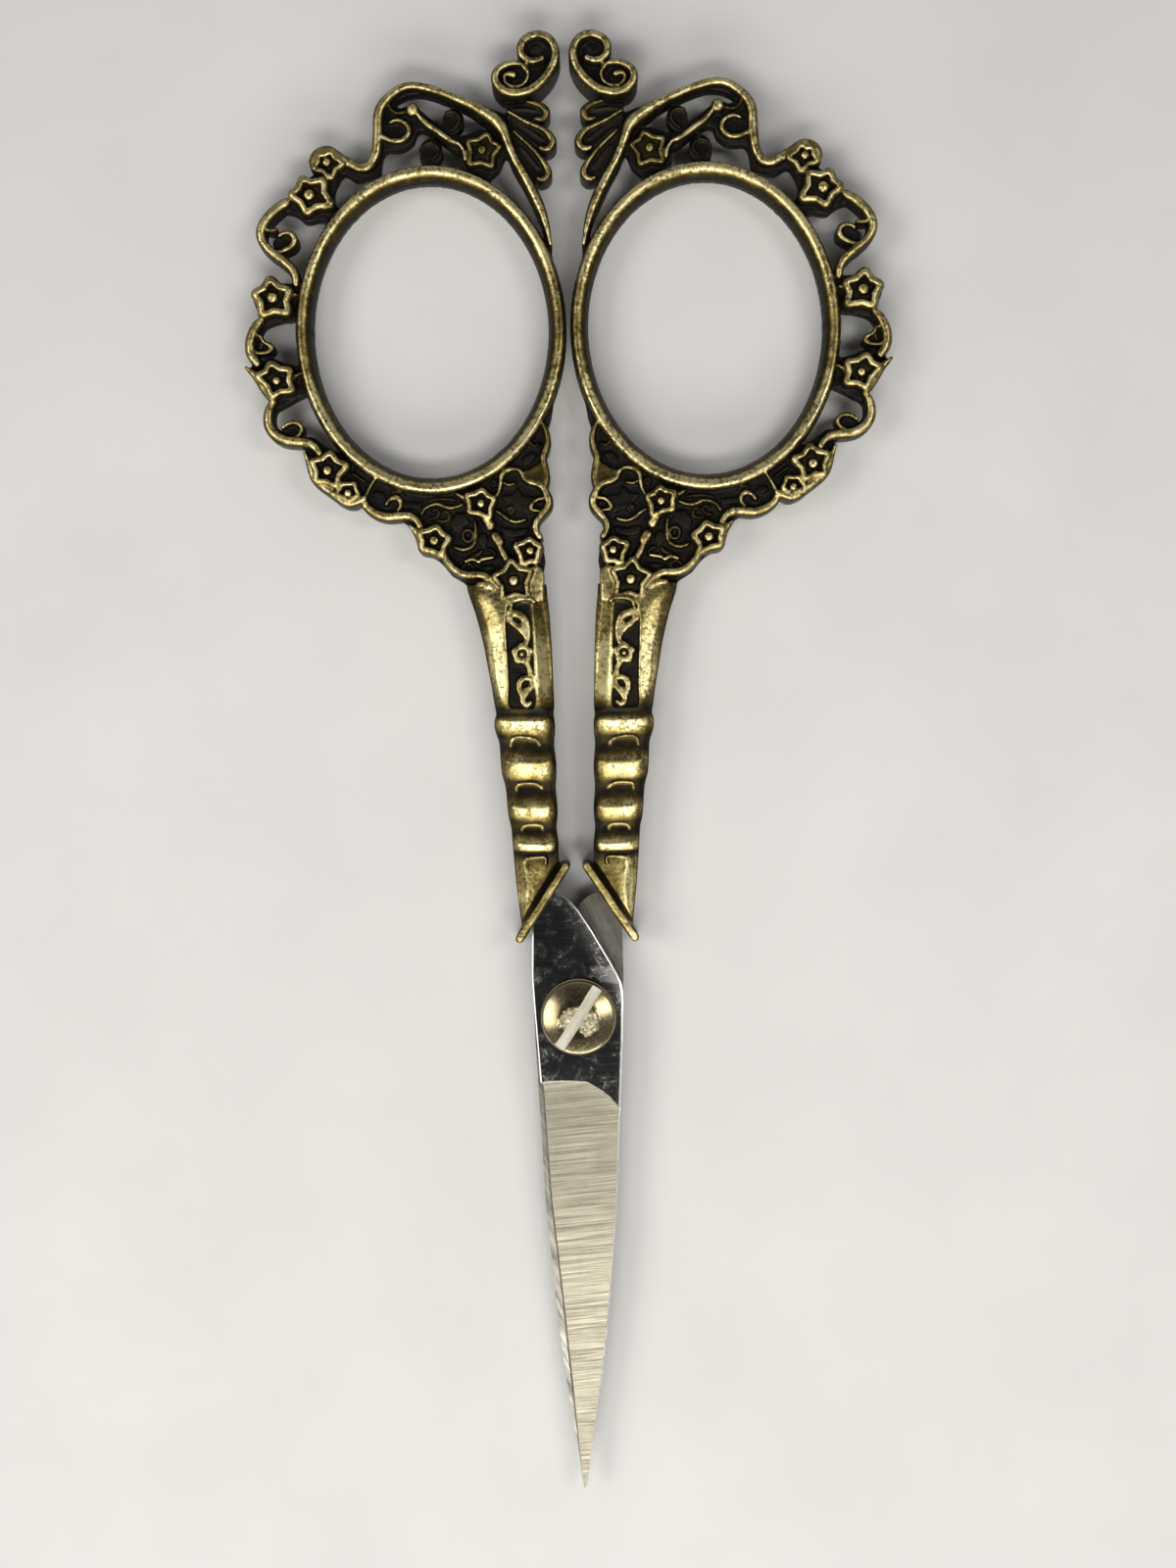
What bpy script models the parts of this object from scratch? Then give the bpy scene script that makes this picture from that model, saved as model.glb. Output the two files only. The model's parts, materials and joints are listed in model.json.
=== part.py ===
"""Embroidery scissors with cast openwork handles, lying closed on a flat surface.

Metres, +Z up, +Y from the blade tips to the finger rings. The origin is the
bottom centre of the box around the whole object. Each half is a steel blade
whose tang sits in a slot of a cast handle, and a slotted screw with a washer
holds the two halves together.
"""

import math

import bmesh
import bpy
from mathutils import Matrix, Vector

MM = 0.001

# The plan view is laid out on a drawing grid. GRID is the size of its unit in
# millimetres, v runs down the sheet, and the centre line leans by LEAN.
GRID = 0.08389
PIVOT_U, PIVOT_V = 590.4, 1037.0
LEAN = 0.015

PIVOT_Y = -21.8  # pivot axis, from the middle of the length

HANDLE_T = 4.2  # thickness of the castings at the shank
FRIEZE_T = 2.32  # web of the openwork
RAIL_T = 3.2  # finger rings
CREST_T = 2.6  # crest rail where it is one rail width wide
BOSS_T = 3.8  # flower heads
MID_Z = HANDLE_T / 2

RING_U, RING_V = 439.3, 336.0
RING_OUT_X, RING_OUT_Y = 11.63, 14.18
RING_BAR = 1.54

BLADE_T = 1.4
BLADE_GAP = 0.25
REAR_Z = MID_Z - BLADE_GAP / 2 - BLADE_T
FRONT_Z = MID_Z + BLADE_GAP / 2
TANG_T = 1.0
TANG_W = 2.3
SLOT_GAP = 0.25

SCREW_HEAD_D = 6.16
SCREW_HEAD_H = 0.95
SCREW_SHANK_D = 3.0
SCREW_HOLE_D = 3.5
SCREW_SLOT_W = 0.9
SCREW_SLOT_DEPTH = 0.55
SCREW_SLOT_ANGLE = 57.0
WASHER_D = 6.45
WASHER_T = 0.25
STACK_GAP = 0.2


def at(u, v):
    """The plan position in millimetres from the pivot of a grid point."""
    du, dv = u - PIVOT_U, v - PIVOT_V
    return ((du - LEAN * dv) * GRID, (-dv - LEAN * du) * GRID)


def mirrored(points):
    return [(-x, y) for x, y in points]


def plan(pairs):
    return [at(u, v) for u, v in pairs]


for old in list(bpy.data.objects):
    bpy.data.objects.remove(old, do_unlink=True)

parts = bpy.data.collections.new("embroidery_scissors")
helpers = bpy.data.collections.new("cutters")
bpy.context.scene.collection.children.link(parts)
bpy.context.scene.collection.children.link(helpers)


def material(name, colour, roughness, metallic):
    made = bpy.data.materials.new(name)
    made.use_nodes = True
    shader = made.node_tree.nodes["Principled BSDF"]
    shader.inputs["Base Color"].default_value = (*colour, 1.0)
    shader.inputs["Roughness"].default_value = roughness
    shader.inputs["Metallic"].default_value = metallic
    return made


def spline_loop(curve, points):
    """Adds a closed outline, in millimetres, to a curve."""
    spline = curve.splines.new("POLY")
    spline.points.add(len(points) - 1)
    for point, (x, y) in zip(spline.points, points):
        point.co = (x * MM, (y + PIVOT_Y) * MM, 0.0, 1.0)
    spline.use_cyclic_u = True


def as_mesh(obj, name):
    """Turns a curve object into a mesh object with welded caps."""
    graph = bpy.context.evaluated_depsgraph_get()
    mesh = bpy.data.meshes.new_from_object(obj.evaluated_get(graph))
    matrix = obj.matrix_world.copy()
    bpy.data.objects.remove(obj, do_unlink=True)
    made = bpy.data.objects.new(name, mesh)
    helpers.objects.link(made)
    bm = bmesh.new()
    bm.from_mesh(mesh)
    bm.transform(matrix)
    bmesh.ops.remove_doubles(bm, verts=bm.verts, dist=0.000002)
    bmesh.ops.recalc_face_normals(bm, faces=bm.faces)
    bm.to_mesh(mesh)
    bm.free()
    mesh.name = name
    return made


def plate(name, outlines, z_low, z_high):
    """A flat plate with the first outline as its edge and the rest as openings."""
    curve = bpy.data.curves.new(name, "CURVE")
    curve.dimensions = "2D"
    curve.fill_mode = "BOTH"
    curve.extrude = (z_high - z_low) / 2 * MM
    for outline in outlines:
        spline_loop(curve, outline)
    obj = bpy.data.objects.new(name, curve)
    helpers.objects.link(obj)
    obj.location.z = (z_low + z_high) / 2 * MM
    bpy.context.view_layer.update()
    return as_mesh(obj, name)


def rail(name, points, width, thickness, radii=None, cyclic=False, sides=8):
    """A rail of oval section along plan points, centred on the handles' mid plane."""
    profile = bpy.data.curves.new(name + "_profile", "CURVE")
    profile.dimensions = "2D"
    spline = profile.splines.new("POLY")
    spline.points.add(sides - 1)
    for index, point in enumerate(spline.points):
        turn = 2 * math.pi * (index + 0.5) / sides
        scale = 1 / math.cos(math.pi / sides)
        point.co = (
            math.cos(turn) * width / 2 * scale * MM,
            math.sin(turn) * thickness / 2 * scale * MM,
            0.0,
            1.0,
        )
    spline.use_cyclic_u = True
    section = bpy.data.objects.new(name + "_profile", profile)
    helpers.objects.link(section)
    curve = bpy.data.curves.new(name, "CURVE")
    curve.dimensions = "2D"
    curve.fill_mode = "NONE"
    curve.bevel_mode = "OBJECT"
    curve.bevel_object = section
    curve.use_fill_caps = not cyclic
    path = curve.splines.new("POLY")
    path.points.add(len(points) - 1)
    for index, (x, y) in enumerate(points):
        path.points[index].co = (x * MM, (y + PIVOT_Y) * MM, 0.0, 1.0)
        path.points[index].radius = radii[index] if radii else 1.0
    path.use_cyclic_u = cyclic
    obj = bpy.data.objects.new(name, curve)
    helpers.objects.link(obj)
    obj.location.z = MID_Z * MM
    bpy.context.view_layer.update()
    made = as_mesh(obj, name)
    bpy.data.objects.remove(section, do_unlink=True)
    return made


def disc(name, x, y, z_low, z_high, radius, sides=12, top=1.0, turn=0.0):
    """An upright turned piece, its upper radius being top times the lower one."""
    bm = bmesh.new()
    bmesh.ops.create_cone(
        bm,
        cap_ends=True,
        segments=sides,
        radius1=radius * MM,
        radius2=radius * top * MM,
        depth=(z_high - z_low) * MM,
        matrix=Matrix.Translation(
            (x * MM, (y + PIVOT_Y) * MM, (z_low + z_high) / 2 * MM)
        )
        @ Matrix.Rotation(turn, 4, "Z"),
    )
    mesh = bpy.data.meshes.new(name)
    bm.to_mesh(mesh)
    bm.free()
    obj = bpy.data.objects.new(name, mesh)
    helpers.objects.link(obj)
    return obj


def block(name, size, matrix):
    """A box of the given size in millimetres, placed by a matrix in metres."""
    bm = bmesh.new()
    bmesh.ops.create_cube(bm, size=1.0, matrix=Matrix.Diagonal((*[s * MM for s in size], 1)))
    bm.transform(matrix)
    mesh = bpy.data.meshes.new(name)
    bm.to_mesh(mesh)
    bm.free()
    obj = bpy.data.objects.new(name, mesh)
    helpers.objects.link(obj)
    return obj


def boolean(target, tool, operation):
    """Joins or cuts with an exact Boolean and keeps the result as the mesh."""
    step = target.modifiers.new(operation.lower(), "BOOLEAN")
    step.object = tool
    step.operation = operation
    step.solver = "EXACT"
    graph = bpy.context.evaluated_depsgraph_get()
    mesh = bpy.data.meshes.new_from_object(target.evaluated_get(graph))
    target.modifiers.remove(step)
    before = target.data
    target.data = mesh
    bpy.data.meshes.remove(before)
    bpy.data.objects.remove(tool, do_unlink=True)


def clean(obj, angle=0.5):
    """Merges coincident points and dissolves the edges inside flat faces."""
    bm = bmesh.new()
    bm.from_mesh(obj.data)
    bmesh.ops.remove_doubles(bm, verts=bm.verts, dist=0.000002)
    bmesh.ops.dissolve_limit(
        bm, angle_limit=math.radians(angle), verts=bm.verts, edges=bm.edges
    )
    bmesh.ops.triangulate(bm, faces=bm.faces)
    bmesh.ops.recalc_face_normals(bm, faces=bm.faces)
    bm.to_mesh(obj.data)
    bm.free()


def finish(obj, name, finish_material):
    """Moves a finished body into the part's collection under its node's name."""
    helpers.objects.unlink(obj)
    parts.objects.link(obj)
    obj.name = name
    obj.data.name = name
    obj.data.materials.clear()
    obj.data.materials.append(finish_material)
    for face in obj.data.polygons:
        face.use_smooth = True
    obj.data.set_sharp_from_angle(angle=math.radians(35))
    return obj


# ---- Cast handle, left -----------------------------------------------------

# Edge of the openwork: crest tip, three fan leaves, finial, crest, flowers and
# lobes down the outer side, shank root, and back up beside the ring.
OPENWORK = plan([
    (566, 252), (562, 232), (556, 212), (549, 192), (550, 185),
    (558, 184), (563, 175), (558, 163), (551, 154),
    (563, 153), (568, 143), (562, 131), (548, 124),
    (557, 122), (561, 113), (555, 104), (542, 100),
    (556, 89), (566, 76), (571, 60), (568, 46), (561, 37), (550, 33),
    (538, 36), (530, 45), (527, 58), (527, 64),
    (514, 65), (505, 72), (501, 83), (504, 93), (511, 101), (514, 110),
    (495, 103), (475, 94), (450, 85), (425, 81), (405, 85), (391, 95),
    (383, 108), (380, 125), (380, 148), (378, 160), (371, 167), (360, 164),
    (350, 155), (340, 149), (328, 149), (318, 155), (315, 165), (316, 174),
    (309, 179), (302, 185), (298, 193), (288, 201), (276, 210), (266, 222),
    (261, 236), (263, 248), (272, 259), (284, 268), (293, 276), (296, 284),
    (286, 284), (276, 281), (268, 289), (257, 297), (254, 307), (259, 320),
    (259, 331), (252, 344), (250, 358), (254, 369), (248, 375), (254, 385),
    (263, 397), (270, 409), (267, 422), (268, 437), (276, 449), (290, 456),
    (303, 457), (308, 462), (310, 475), (314, 490), (325, 499), (340, 510),
    (354, 518), (368, 519), (378, 527), (392, 534), (408, 534), (417, 540),
    (422, 552), (428, 564), (440, 570), (449, 578), (458, 589), (470, 596),
    (482, 606), (520, 625), (552, 606), (557, 588), (560, 572), (557, 552),
    (551, 545), (556, 531), (567, 518), (566, 505), (560, 490), (559, 468),
    (560, 446), (566, 425), (571, 390), (571, 336), (571, 290),
])

# Openings between the crest, the flowers and the ring.
CREST_UPPER = plan([
    (402, 104), (415, 96), (432, 95), (455, 102), (480, 114),
    (499, 124), (504, 131), (490, 130), (476, 135), (467, 136), (455, 129),
    (438, 118), (428, 110), (418, 105), (408, 108),
])
CREST_LOWER = plan([
    (393, 152), (408, 151), (421, 143), (426, 132), (434, 132), (446, 140),
    (460, 150), (469, 155), (468, 164), (474, 173), (470, 181), (438, 176),
    (405, 181), (390, 187), (388, 170),
])
CREST_TIP = plan([
    (516, 157), (524, 173), (535, 192), (547, 215), (554, 236), (553, 256),
    (530, 223), (510, 203), (494, 191), (501, 179), (510, 170),
])
BAY_1 = plan([
    (350, 176), (364, 182), (382, 179), (384, 191), (365, 204), (352, 215),
    (342, 207), (340, 196), (343, 185),
])
BAY_2 = plan([
    (289, 215), (300, 217), (312, 225), (328, 223), (337, 236), (325, 260),
    (316, 284), (307, 284), (303, 273), (294, 263), (284, 256), (274, 247),
    (270, 236), (277, 224),
])
BAY_3 = plan([
    (264, 342), (271, 332), (285, 327), (300, 325), (309, 331), (309, 362),
    (303, 371), (290, 369), (276, 364), (266, 366), (261, 360), (260, 350),
])
BAY_4 = plan([
    (281, 419), (292, 412), (305, 405), (316, 402), (324, 415), (338, 440),
    (352, 456), (345, 460), (334, 456), (327, 451), (318, 445), (300, 444),
    (288, 440), (280, 431),
])

# Crest rail from the outer hook over the top and down to the ring: grid
# position and relative thickness.
CREST_RAIL = [
    (356, 169, 0.75), (376, 174, 0.75), (384, 164, 0.75), (387, 142, 0.8),
    (389, 114, 0.8), (398, 102, 0.8), (408, 92, 0.8), (421, 88.5, 0.8),
    (436, 91, 0.85), (458, 99, 0.9), (480, 109, 1.1), (502, 120, 1.25),
    (512, 129, 1.25), (518, 145, 1.1), (525, 162, 1.0), (536, 181, 0.9),
    (546, 199, 0.85), (555, 218, 0.8), (562, 246, 0.7),
]
CREST_RAIL_W = 0.72

# Flower heads and star heads: grid position and radius in millimetres.
FLOWERS = [
    (333, 167, 1.35), (315.5, 198.5, 1.65), (278, 304, 1.6), (282, 389, 1.55),
    (334, 480, 1.5), (355, 503.5, 1.05), (443, 552, 1.6), (491, 514, 1.45),
    (541, 562, 1.15), (524, 594, 1.75), (492, 153, 1.2), (529, 505, 1.3),
]

# Shank: grid row, outer and inner distance from the centre line in grid units,
# and thickness in millimetres. Waisted grooves stand between the turned bands.
SHANK = [
    (598, 106, 27, 3.0), (612, 104, 25, 3.8), (622, 100, 24, HANDLE_T),
    (675, 88, 21.5, HANDLE_T), (722, 81, 20.5, HANDLE_T), (728, 79, 22, 3.7),
    (736, 83, 20, HANDLE_T), (746, 83, 20, HANDLE_T), (760, 76, 23, 3.6),
    (778, 76, 19, HANDLE_T), (790, 76, 19, HANDLE_T), (808, 70, 21, 3.6),
    (822, 70, 18.5, HANDLE_T), (833, 70, 18.5, HANDLE_T), (849, 65, 21, 3.6),
    (862, 65, 18, HANDLE_T), (869, 65, 18, HANDLE_T),
]
LIP_TOP = (579.5, 879.0)  # inner end of the slanted bolster lip
LIP_LOW = (530.0, 958.5)  # outer end
LIP_W = 0.65

# Middle line of the tang, from inside the blade up the left shank.
TANG_LINE = [
    (562.5, 973.0), (556.0, 933.0), (548.2, 885.0), (544.6, 845.0), (541.6, 805.0),
]
TANG_END = (540.0, 781.0)
SLOT_END = (539.7, 777.0)


def centre_u(v):
    return PIVOT_U + LEAN * (v - PIVOT_V)


def loft(name, rings):
    """A body through rings of equal point counts, closed at both ends."""
    bm = bmesh.new()
    rows = [[bm.verts.new(Vector(p) * MM) for p in ring] for ring in rings]
    count = len(rows[0])
    for low, high in zip(rows, rows[1:]):
        for i in range(count):
            j = (i + 1) % count
            bm.faces.new((low[i], low[j], high[j], high[i]))
    bm.faces.new(rows[0][::-1])
    bm.faces.new(rows[-1])
    bmesh.ops.recalc_face_normals(bm, faces=bm.faces)
    mesh = bpy.data.meshes.new(name)
    bm.to_mesh(mesh)
    bm.free()
    obj = bpy.data.objects.new(name, mesh)
    helpers.objects.link(obj)
    return obj


def shank_ring(a, b, thickness, corner=0.3):
    """An eight-sided section between plan points a and b, with flat top and bottom."""
    ax, ay = a
    bx, by = b
    half = thickness / 2
    cut = half * 0.52
    ring = []
    for t, z in (
        (0.0, half - cut), (corner, half), (1 - corner, half), (1.0, half - cut),
        (1.0, cut - half), (1 - corner, -half), (corner, -half), (0.0, cut - half),
    ):
        ring.append(
            (ax + (bx - ax) * t, ay + (by - ay) * t + PIVOT_Y, MID_Z + z)
        )
    return ring


def left_casting():
    """The left casting without its tang slot."""
    cx, cy = at(RING_U, RING_V)
    body = plate(
        "openwork",
        [
            OPENWORK,
            [
                (
                    cx + (RING_OUT_X - RING_BAR + 0.3) * math.cos(a),
                    cy + (RING_OUT_Y - RING_BAR + 0.3) * math.sin(a),
                )
                for a in [2 * math.pi * i / 48 for i in range(48)]
            ],
            CREST_UPPER, CREST_LOWER, CREST_TIP, BAY_1, BAY_2, BAY_3, BAY_4,
        ],
        MID_Z - FRIEZE_T / 2,
        MID_Z + FRIEZE_T / 2,
    )
    ring_points = [
        (
            cx + (RING_OUT_X - RING_BAR / 2) * math.cos(a),
            cy + (RING_OUT_Y - RING_BAR / 2) * math.sin(a),
        )
        for a in [2 * math.pi * (i + 0.5) / 48 for i in range(48)]
    ]
    boolean(body, rail("ring", ring_points, RING_BAR, RAIL_T, cyclic=True), "UNION")
    crest = rail(
        "crest",
        plan([(u, v) for u, v, _ in CREST_RAIL]),
        CREST_RAIL_W,
        CREST_T,
        radii=[r for _, _, r in CREST_RAIL],
        sides=6,
    )
    boolean(body, crest, "UNION")
    for index, (u, v, radius) in enumerate(FLOWERS):
        x, y = at(u, v)
        low, high = MID_Z - BOSS_T / 2, MID_Z + BOSS_T / 2
        boolean(body, disc("flower", x, y, low, high, radius, 10, turn=0.1 * index), "UNION")
    # The finial stands to the full thickness, and carries the rings' end of the
    # handle when the scissors lie on a table.
    x, y = at(548, 52)
    boolean(body, disc("finial_a", x, y, 0.0, HANDLE_T, 1.45, 14), "UNION")
    x, y = at(523, 82)
    boolean(body, disc("finial_b", x, y, 0.15, HANDLE_T - 0.15, 1.45, 14, turn=0.1), "UNION")
    sections = []
    for v, outer, inner, thickness in SHANK:
        middle = centre_u(v)
        sections.append(shank_ring(at(middle - outer, v), at(middle - inner, v), thickness))
    top, low = at(*LIP_TOP), at(*LIP_LOW)
    steps = 4
    v, outer, inner, _ = SHANK[-1]
    first_out, first_in = at(centre_u(v) - outer, v), at(centre_u(v) - inner, v)
    for step in range(1, steps + 1):
        t = step / steps
        a = tuple(p + (q - p) * t for p, q in zip(first_out, low))
        b = tuple(p + (q - p) * t for p, q in zip(first_in, top))
        sections.append(shank_ring(a, b, HANDLE_T if step < steps else HANDLE_T - 0.2, 0.2))
    boolean(body, loft("shank", sections), "UNION")
    # Bolster lip: a slanted bar across the end of the shank.
    dx, dy = low[0] - top[0], low[1] - top[1]
    length = math.hypot(dx, dy)
    place = Matrix.Translation(
        (
            (top[0] + low[0]) / 2 * MM,
            ((top[1] + low[1]) / 2 + PIVOT_Y) * MM,
            MID_Z * MM,
        )
    ) @ Matrix.Rotation(math.atan2(dy, dx), 4, "Z")
    boolean(body, block("lip", (length, LIP_W, HANDLE_T - 0.1), place), "UNION")
    return body


def tang_outline(width, end):
    """Outline of the tang, or of its slot, along the middle of the left shank."""
    line = plan(TANG_LINE + [end])
    left, right = [], []
    for index, (x, y) in enumerate(line):
        before = line[max(index - 1, 0)]
        after = line[min(index + 1, len(line) - 1)]
        dx, dy = after[0] - before[0], after[1] - before[1]
        size = math.hypot(dx, dy)
        nx, ny = -dy / size, dx / size
        left.append((x + nx * width / 2, y + ny * width / 2))
        right.append((x - nx * width / 2, y - ny * width / 2))
    return left + right[::-1]


def slotted(body, left, z_middle):
    """Cuts the tang slot, open at the lip, into one casting."""
    outline = tang_outline(TANG_W + 2 * SLOT_GAP, SLOT_END)
    if not left:
        outline = mirrored(outline)
    half = TANG_T / 2 + SLOT_GAP
    boolean(body, plate("slot", [outline], z_middle - half, z_middle + half), "DIFFERENCE")


# ---- Blades ----------------------------------------------------------------

# Plan of the front blade from the notch behind the pivot clockwise: shoulder,
# spine, tip and cutting edge.
FRONT_RIGHT = [
    (569, 912.5), (581, 918.5), (589.5, 928.5), (603.5, 949.5), (620.5, 978.5),
    (632.5, 999), (636, 1015), (635.5, 1066), (633.5, 1101), (632, 1150),
    (630.5, 1219), (628.5, 1239), (624, 1300), (621.5, 1339), (614.3, 1407),
    (607, 1461), (599.2, 1517),
]
FRONT_TIP = (597, 1522)
FRONT_LEFT = [
    (595.2, 1517), (589.3, 1470), (578.6, 1375), (575, 1339), (570.5, 1300),
    (561, 1219), (553.6, 1113), (551.7, 1104), (545.6, 1032), (543, 998),
    (543.2, 959.5),
]


def blade(name, left, z_low, front):
    """A flat blade with its tang. The outer face is ground down to the tip."""
    body_outline = plan(FRONT_RIGHT + [FRONT_TIP] + FRONT_LEFT)
    tang_edge = tang_outline(TANG_W, TANG_END)
    if not left:
        body_outline, tang_edge = mirrored(body_outline), mirrored(tang_edge)
    z_high = z_low + BLADE_T
    body = plate(name, [body_outline], z_low, z_high)
    middle = (z_low + z_high) / 2
    tang = plate("tang", [tang_edge], middle - TANG_T / 2, middle + TANG_T / 2)
    boolean(body, tang, "UNION")
    side = 1 if left else -1
    up = 1 if front else -1
    outer = z_high if front else z_low
    inner = z_low if front else z_high
    # Taper: a flat cut from just below the pivot down to a thin tip.
    start = at(590, 1108)
    end = at(*FRONT_TIP)
    drop = BLADE_T - 0.6
    run = start[1] - end[1]
    slope = math.atan2(drop, run)
    cut = block(
        "taper",
        (30, run * 1.6, 4),
        Matrix.Translation((0, (start[1] + PIVOT_Y) * MM, outer * MM))
        @ Matrix.Rotation(up * slope, 4, "X")
        @ Matrix.Translation((0, -run * 0.8 * MM, up * 2 * MM)),
    )
    boolean(body, cut, "DIFFERENCE")
    # Edge bevel along the cutting side.
    p, q = at(553.6, 1113), at(595.2, 1517)
    p, q = (side * p[0], p[1]), (side * q[0], q[1])
    along = math.atan2(q[1] - p[1], q[0] - p[0])
    place = Matrix.Translation(
        (
            (p[0] + q[0]) / 2 * MM,
            ((p[1] + q[1]) / 2 + PIVOT_Y) * MM,
            (inner + up * 0.3) * MM,
        )
    ) @ Matrix.Rotation(along, 4, "Z")
    lean = math.radians(24) * up * side
    length = math.hypot(q[0] - p[0], q[1] - p[1])
    cut = block(
        "edge",
        (length + 6, 6, 3),
        place @ Matrix.Rotation(lean, 4, "X") @ Matrix.Translation((0, 0, up * 1.5 * MM)),
    )
    boolean(body, cut, "DIFFERENCE")
    hole = disc("hole", 0, 0, z_low - 1, z_high + 1, SCREW_HOLE_D / 2, 32)
    boolean(body, hole, "DIFFERENCE")
    return body


bronze = material("antique_bronze", (0.28, 0.20, 0.09), 0.38, 1.0)
steel = material("polished_steel", (0.62, 0.62, 0.60), 0.2, 1.0)
steel_rear = material("brushed_steel", (0.60, 0.60, 0.58), 0.32, 1.0)
nickel = material("pale_nickel", (0.72, 0.66, 0.52), 0.22, 1.0)
nickel_ring = material("pale_nickel_washer", (0.70, 0.66, 0.55), 0.28, 1.0)
bronze_right = material("antique_bronze_right", (0.28, 0.20, 0.09), 0.38, 1.0)

casting = left_casting()
clean(casting)
right_mesh = casting.data.copy()
right_mesh.transform(Matrix.Diagonal((-1, 1, 1, 1)))
right_mesh.flip_normals()
right_casting = bpy.data.objects.new("right_casting", right_mesh)
helpers.objects.link(right_casting)

slotted(casting, True, FRONT_Z + BLADE_T / 2)
slotted(right_casting, False, REAR_Z + BLADE_T / 2)
for obj in (casting, right_casting):
    clean(obj)
left_handle = finish(casting, "left_handle", bronze)
right_handle = finish(right_casting, "right_handle", bronze_right)

front_body = blade("front", True, FRONT_Z, True)
rear_body = blade("rear", False, REAR_Z, False)
for obj in (front_body, rear_body):
    clean(obj)
front_blade = finish(front_body, "front_blade", steel)
rear_blade = finish(rear_body, "rear_blade", steel_rear)

# ---- Pivot screw and washer ------------------------------------------------

washer_low = FRONT_Z + BLADE_T + STACK_GAP
washer = disc("washer", 0, 0, washer_low, washer_low + WASHER_T, WASHER_D / 2, 48)
boolean(
    washer,
    disc("washer_hole", 0, 0, washer_low - 1, washer_low + 2, SCREW_HOLE_D / 2, 32),
    "DIFFERENCE",
)
clean(washer)
pivot_washer = finish(washer, "pivot_washer", nickel_ring)

head_low = washer_low + WASHER_T + STACK_GAP
head_high = head_low + SCREW_HEAD_H
bm = bmesh.new()
radius = SCREW_HEAD_D / 2
# Turned profile, from the axis at the top down the outer side to the point.
profile = [
    (0.0, head_high), (radius * 0.55, head_high - 0.04), (radius * 0.86, head_high - 0.16),
    (radius * 0.97, head_high - 0.34), (radius, head_high - 0.55), (radius, head_low),
    (SCREW_SHANK_D / 2, head_low), (SCREW_SHANK_D / 2, REAR_Z + 0.1),
    (SCREW_SHANK_D / 2 - 0.25, REAR_Z - 0.15), (0.0, REAR_Z - 0.15),
]
points = [bm.verts.new((x * MM, 0.0, z * MM)) for x, z in profile]
for p, q in zip(points, points[1:]):
    bm.edges.new((p, q))
mesh = bpy.data.meshes.new("screw")
bm.to_mesh(mesh)
bm.free()
screw = bpy.data.objects.new("screw", mesh)
helpers.objects.link(screw)
turned = screw.modifiers.new("turned", "SCREW")
turned.steps = turned.render_steps = 48
turned.use_merge_vertices = True
turned.merge_threshold = 0.00001
graph = bpy.context.evaluated_depsgraph_get()
turned_mesh = bpy.data.meshes.new_from_object(screw.evaluated_get(graph))
turned_mesh.transform(Matrix.Translation((0, PIVOT_Y * MM, 0)))
screw.modifiers.clear()
screw.data = turned_mesh
slot_cut = block(
    "driver_slot",
    (SCREW_HEAD_D + 2, SCREW_SLOT_W, 2 * SCREW_SLOT_DEPTH),
    Matrix.Translation((0, PIVOT_Y * MM, head_high * MM))
    @ Matrix.Rotation(math.radians(SCREW_SLOT_ANGLE), 4, "Z"),
)
boolean(screw, slot_cut, "DIFFERENCE")
clean(screw, 0.1)
pivot_screw = finish(screw, "pivot_screw", nickel)

# The front half turns about the screw, so its pieces hang on an empty there.
pivot = bpy.data.objects.new("front_half_pivot", None)
pivot.empty_display_size = 0.005
pivot.location = (0.0, PIVOT_Y * MM, MID_Z * MM)
parts.objects.link(pivot)
bpy.context.view_layer.update()
for obj in (front_blade, left_handle):
    obj.parent = pivot
    obj.matrix_parent_inverse = pivot.matrix_world.inverted()
bpy.context.view_layer.update()
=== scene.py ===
"""Looks of a pair of embroidery scissors with cast openwork handles.

The castings are drawn as a relief in plan: a half thickness H and an outline
distance S on a fine grid, both in millimetres from the pivot. The relief is
the same on the two faces, so a casting is all that lies within H of its
middle plane. Blades, screw and washer are built from their sections.
"""

import json
import math

import bmesh
import bpy
import numpy as np
from mathutils import Matrix, Vector
from mathutils import noise as solid_noise

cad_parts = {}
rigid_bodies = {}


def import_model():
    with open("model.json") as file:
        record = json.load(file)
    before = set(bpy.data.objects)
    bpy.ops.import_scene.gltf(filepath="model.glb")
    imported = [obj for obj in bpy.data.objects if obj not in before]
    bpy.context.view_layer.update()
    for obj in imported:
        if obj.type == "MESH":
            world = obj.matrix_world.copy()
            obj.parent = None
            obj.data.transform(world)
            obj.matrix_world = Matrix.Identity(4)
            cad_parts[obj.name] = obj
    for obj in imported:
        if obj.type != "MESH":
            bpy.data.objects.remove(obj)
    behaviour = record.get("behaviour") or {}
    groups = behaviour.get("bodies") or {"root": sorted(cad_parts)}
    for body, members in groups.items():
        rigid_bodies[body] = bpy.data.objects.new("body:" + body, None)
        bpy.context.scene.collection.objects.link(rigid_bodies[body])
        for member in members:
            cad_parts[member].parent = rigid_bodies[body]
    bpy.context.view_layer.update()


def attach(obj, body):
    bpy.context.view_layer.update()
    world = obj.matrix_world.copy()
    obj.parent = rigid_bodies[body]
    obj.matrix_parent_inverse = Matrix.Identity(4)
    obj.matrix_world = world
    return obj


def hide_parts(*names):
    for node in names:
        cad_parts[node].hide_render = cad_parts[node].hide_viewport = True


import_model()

# ---- Relief: plan grid and drawing tools -----------------------------------

GRID = 0.08389  # millimetres in one unit of the plan drawing
PIVOT_U, PIVOT_V = 590.4, 1037.0
LEAN = 0.015
PIVOT_Y = -21.8
MID_Z = 2.1

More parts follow.
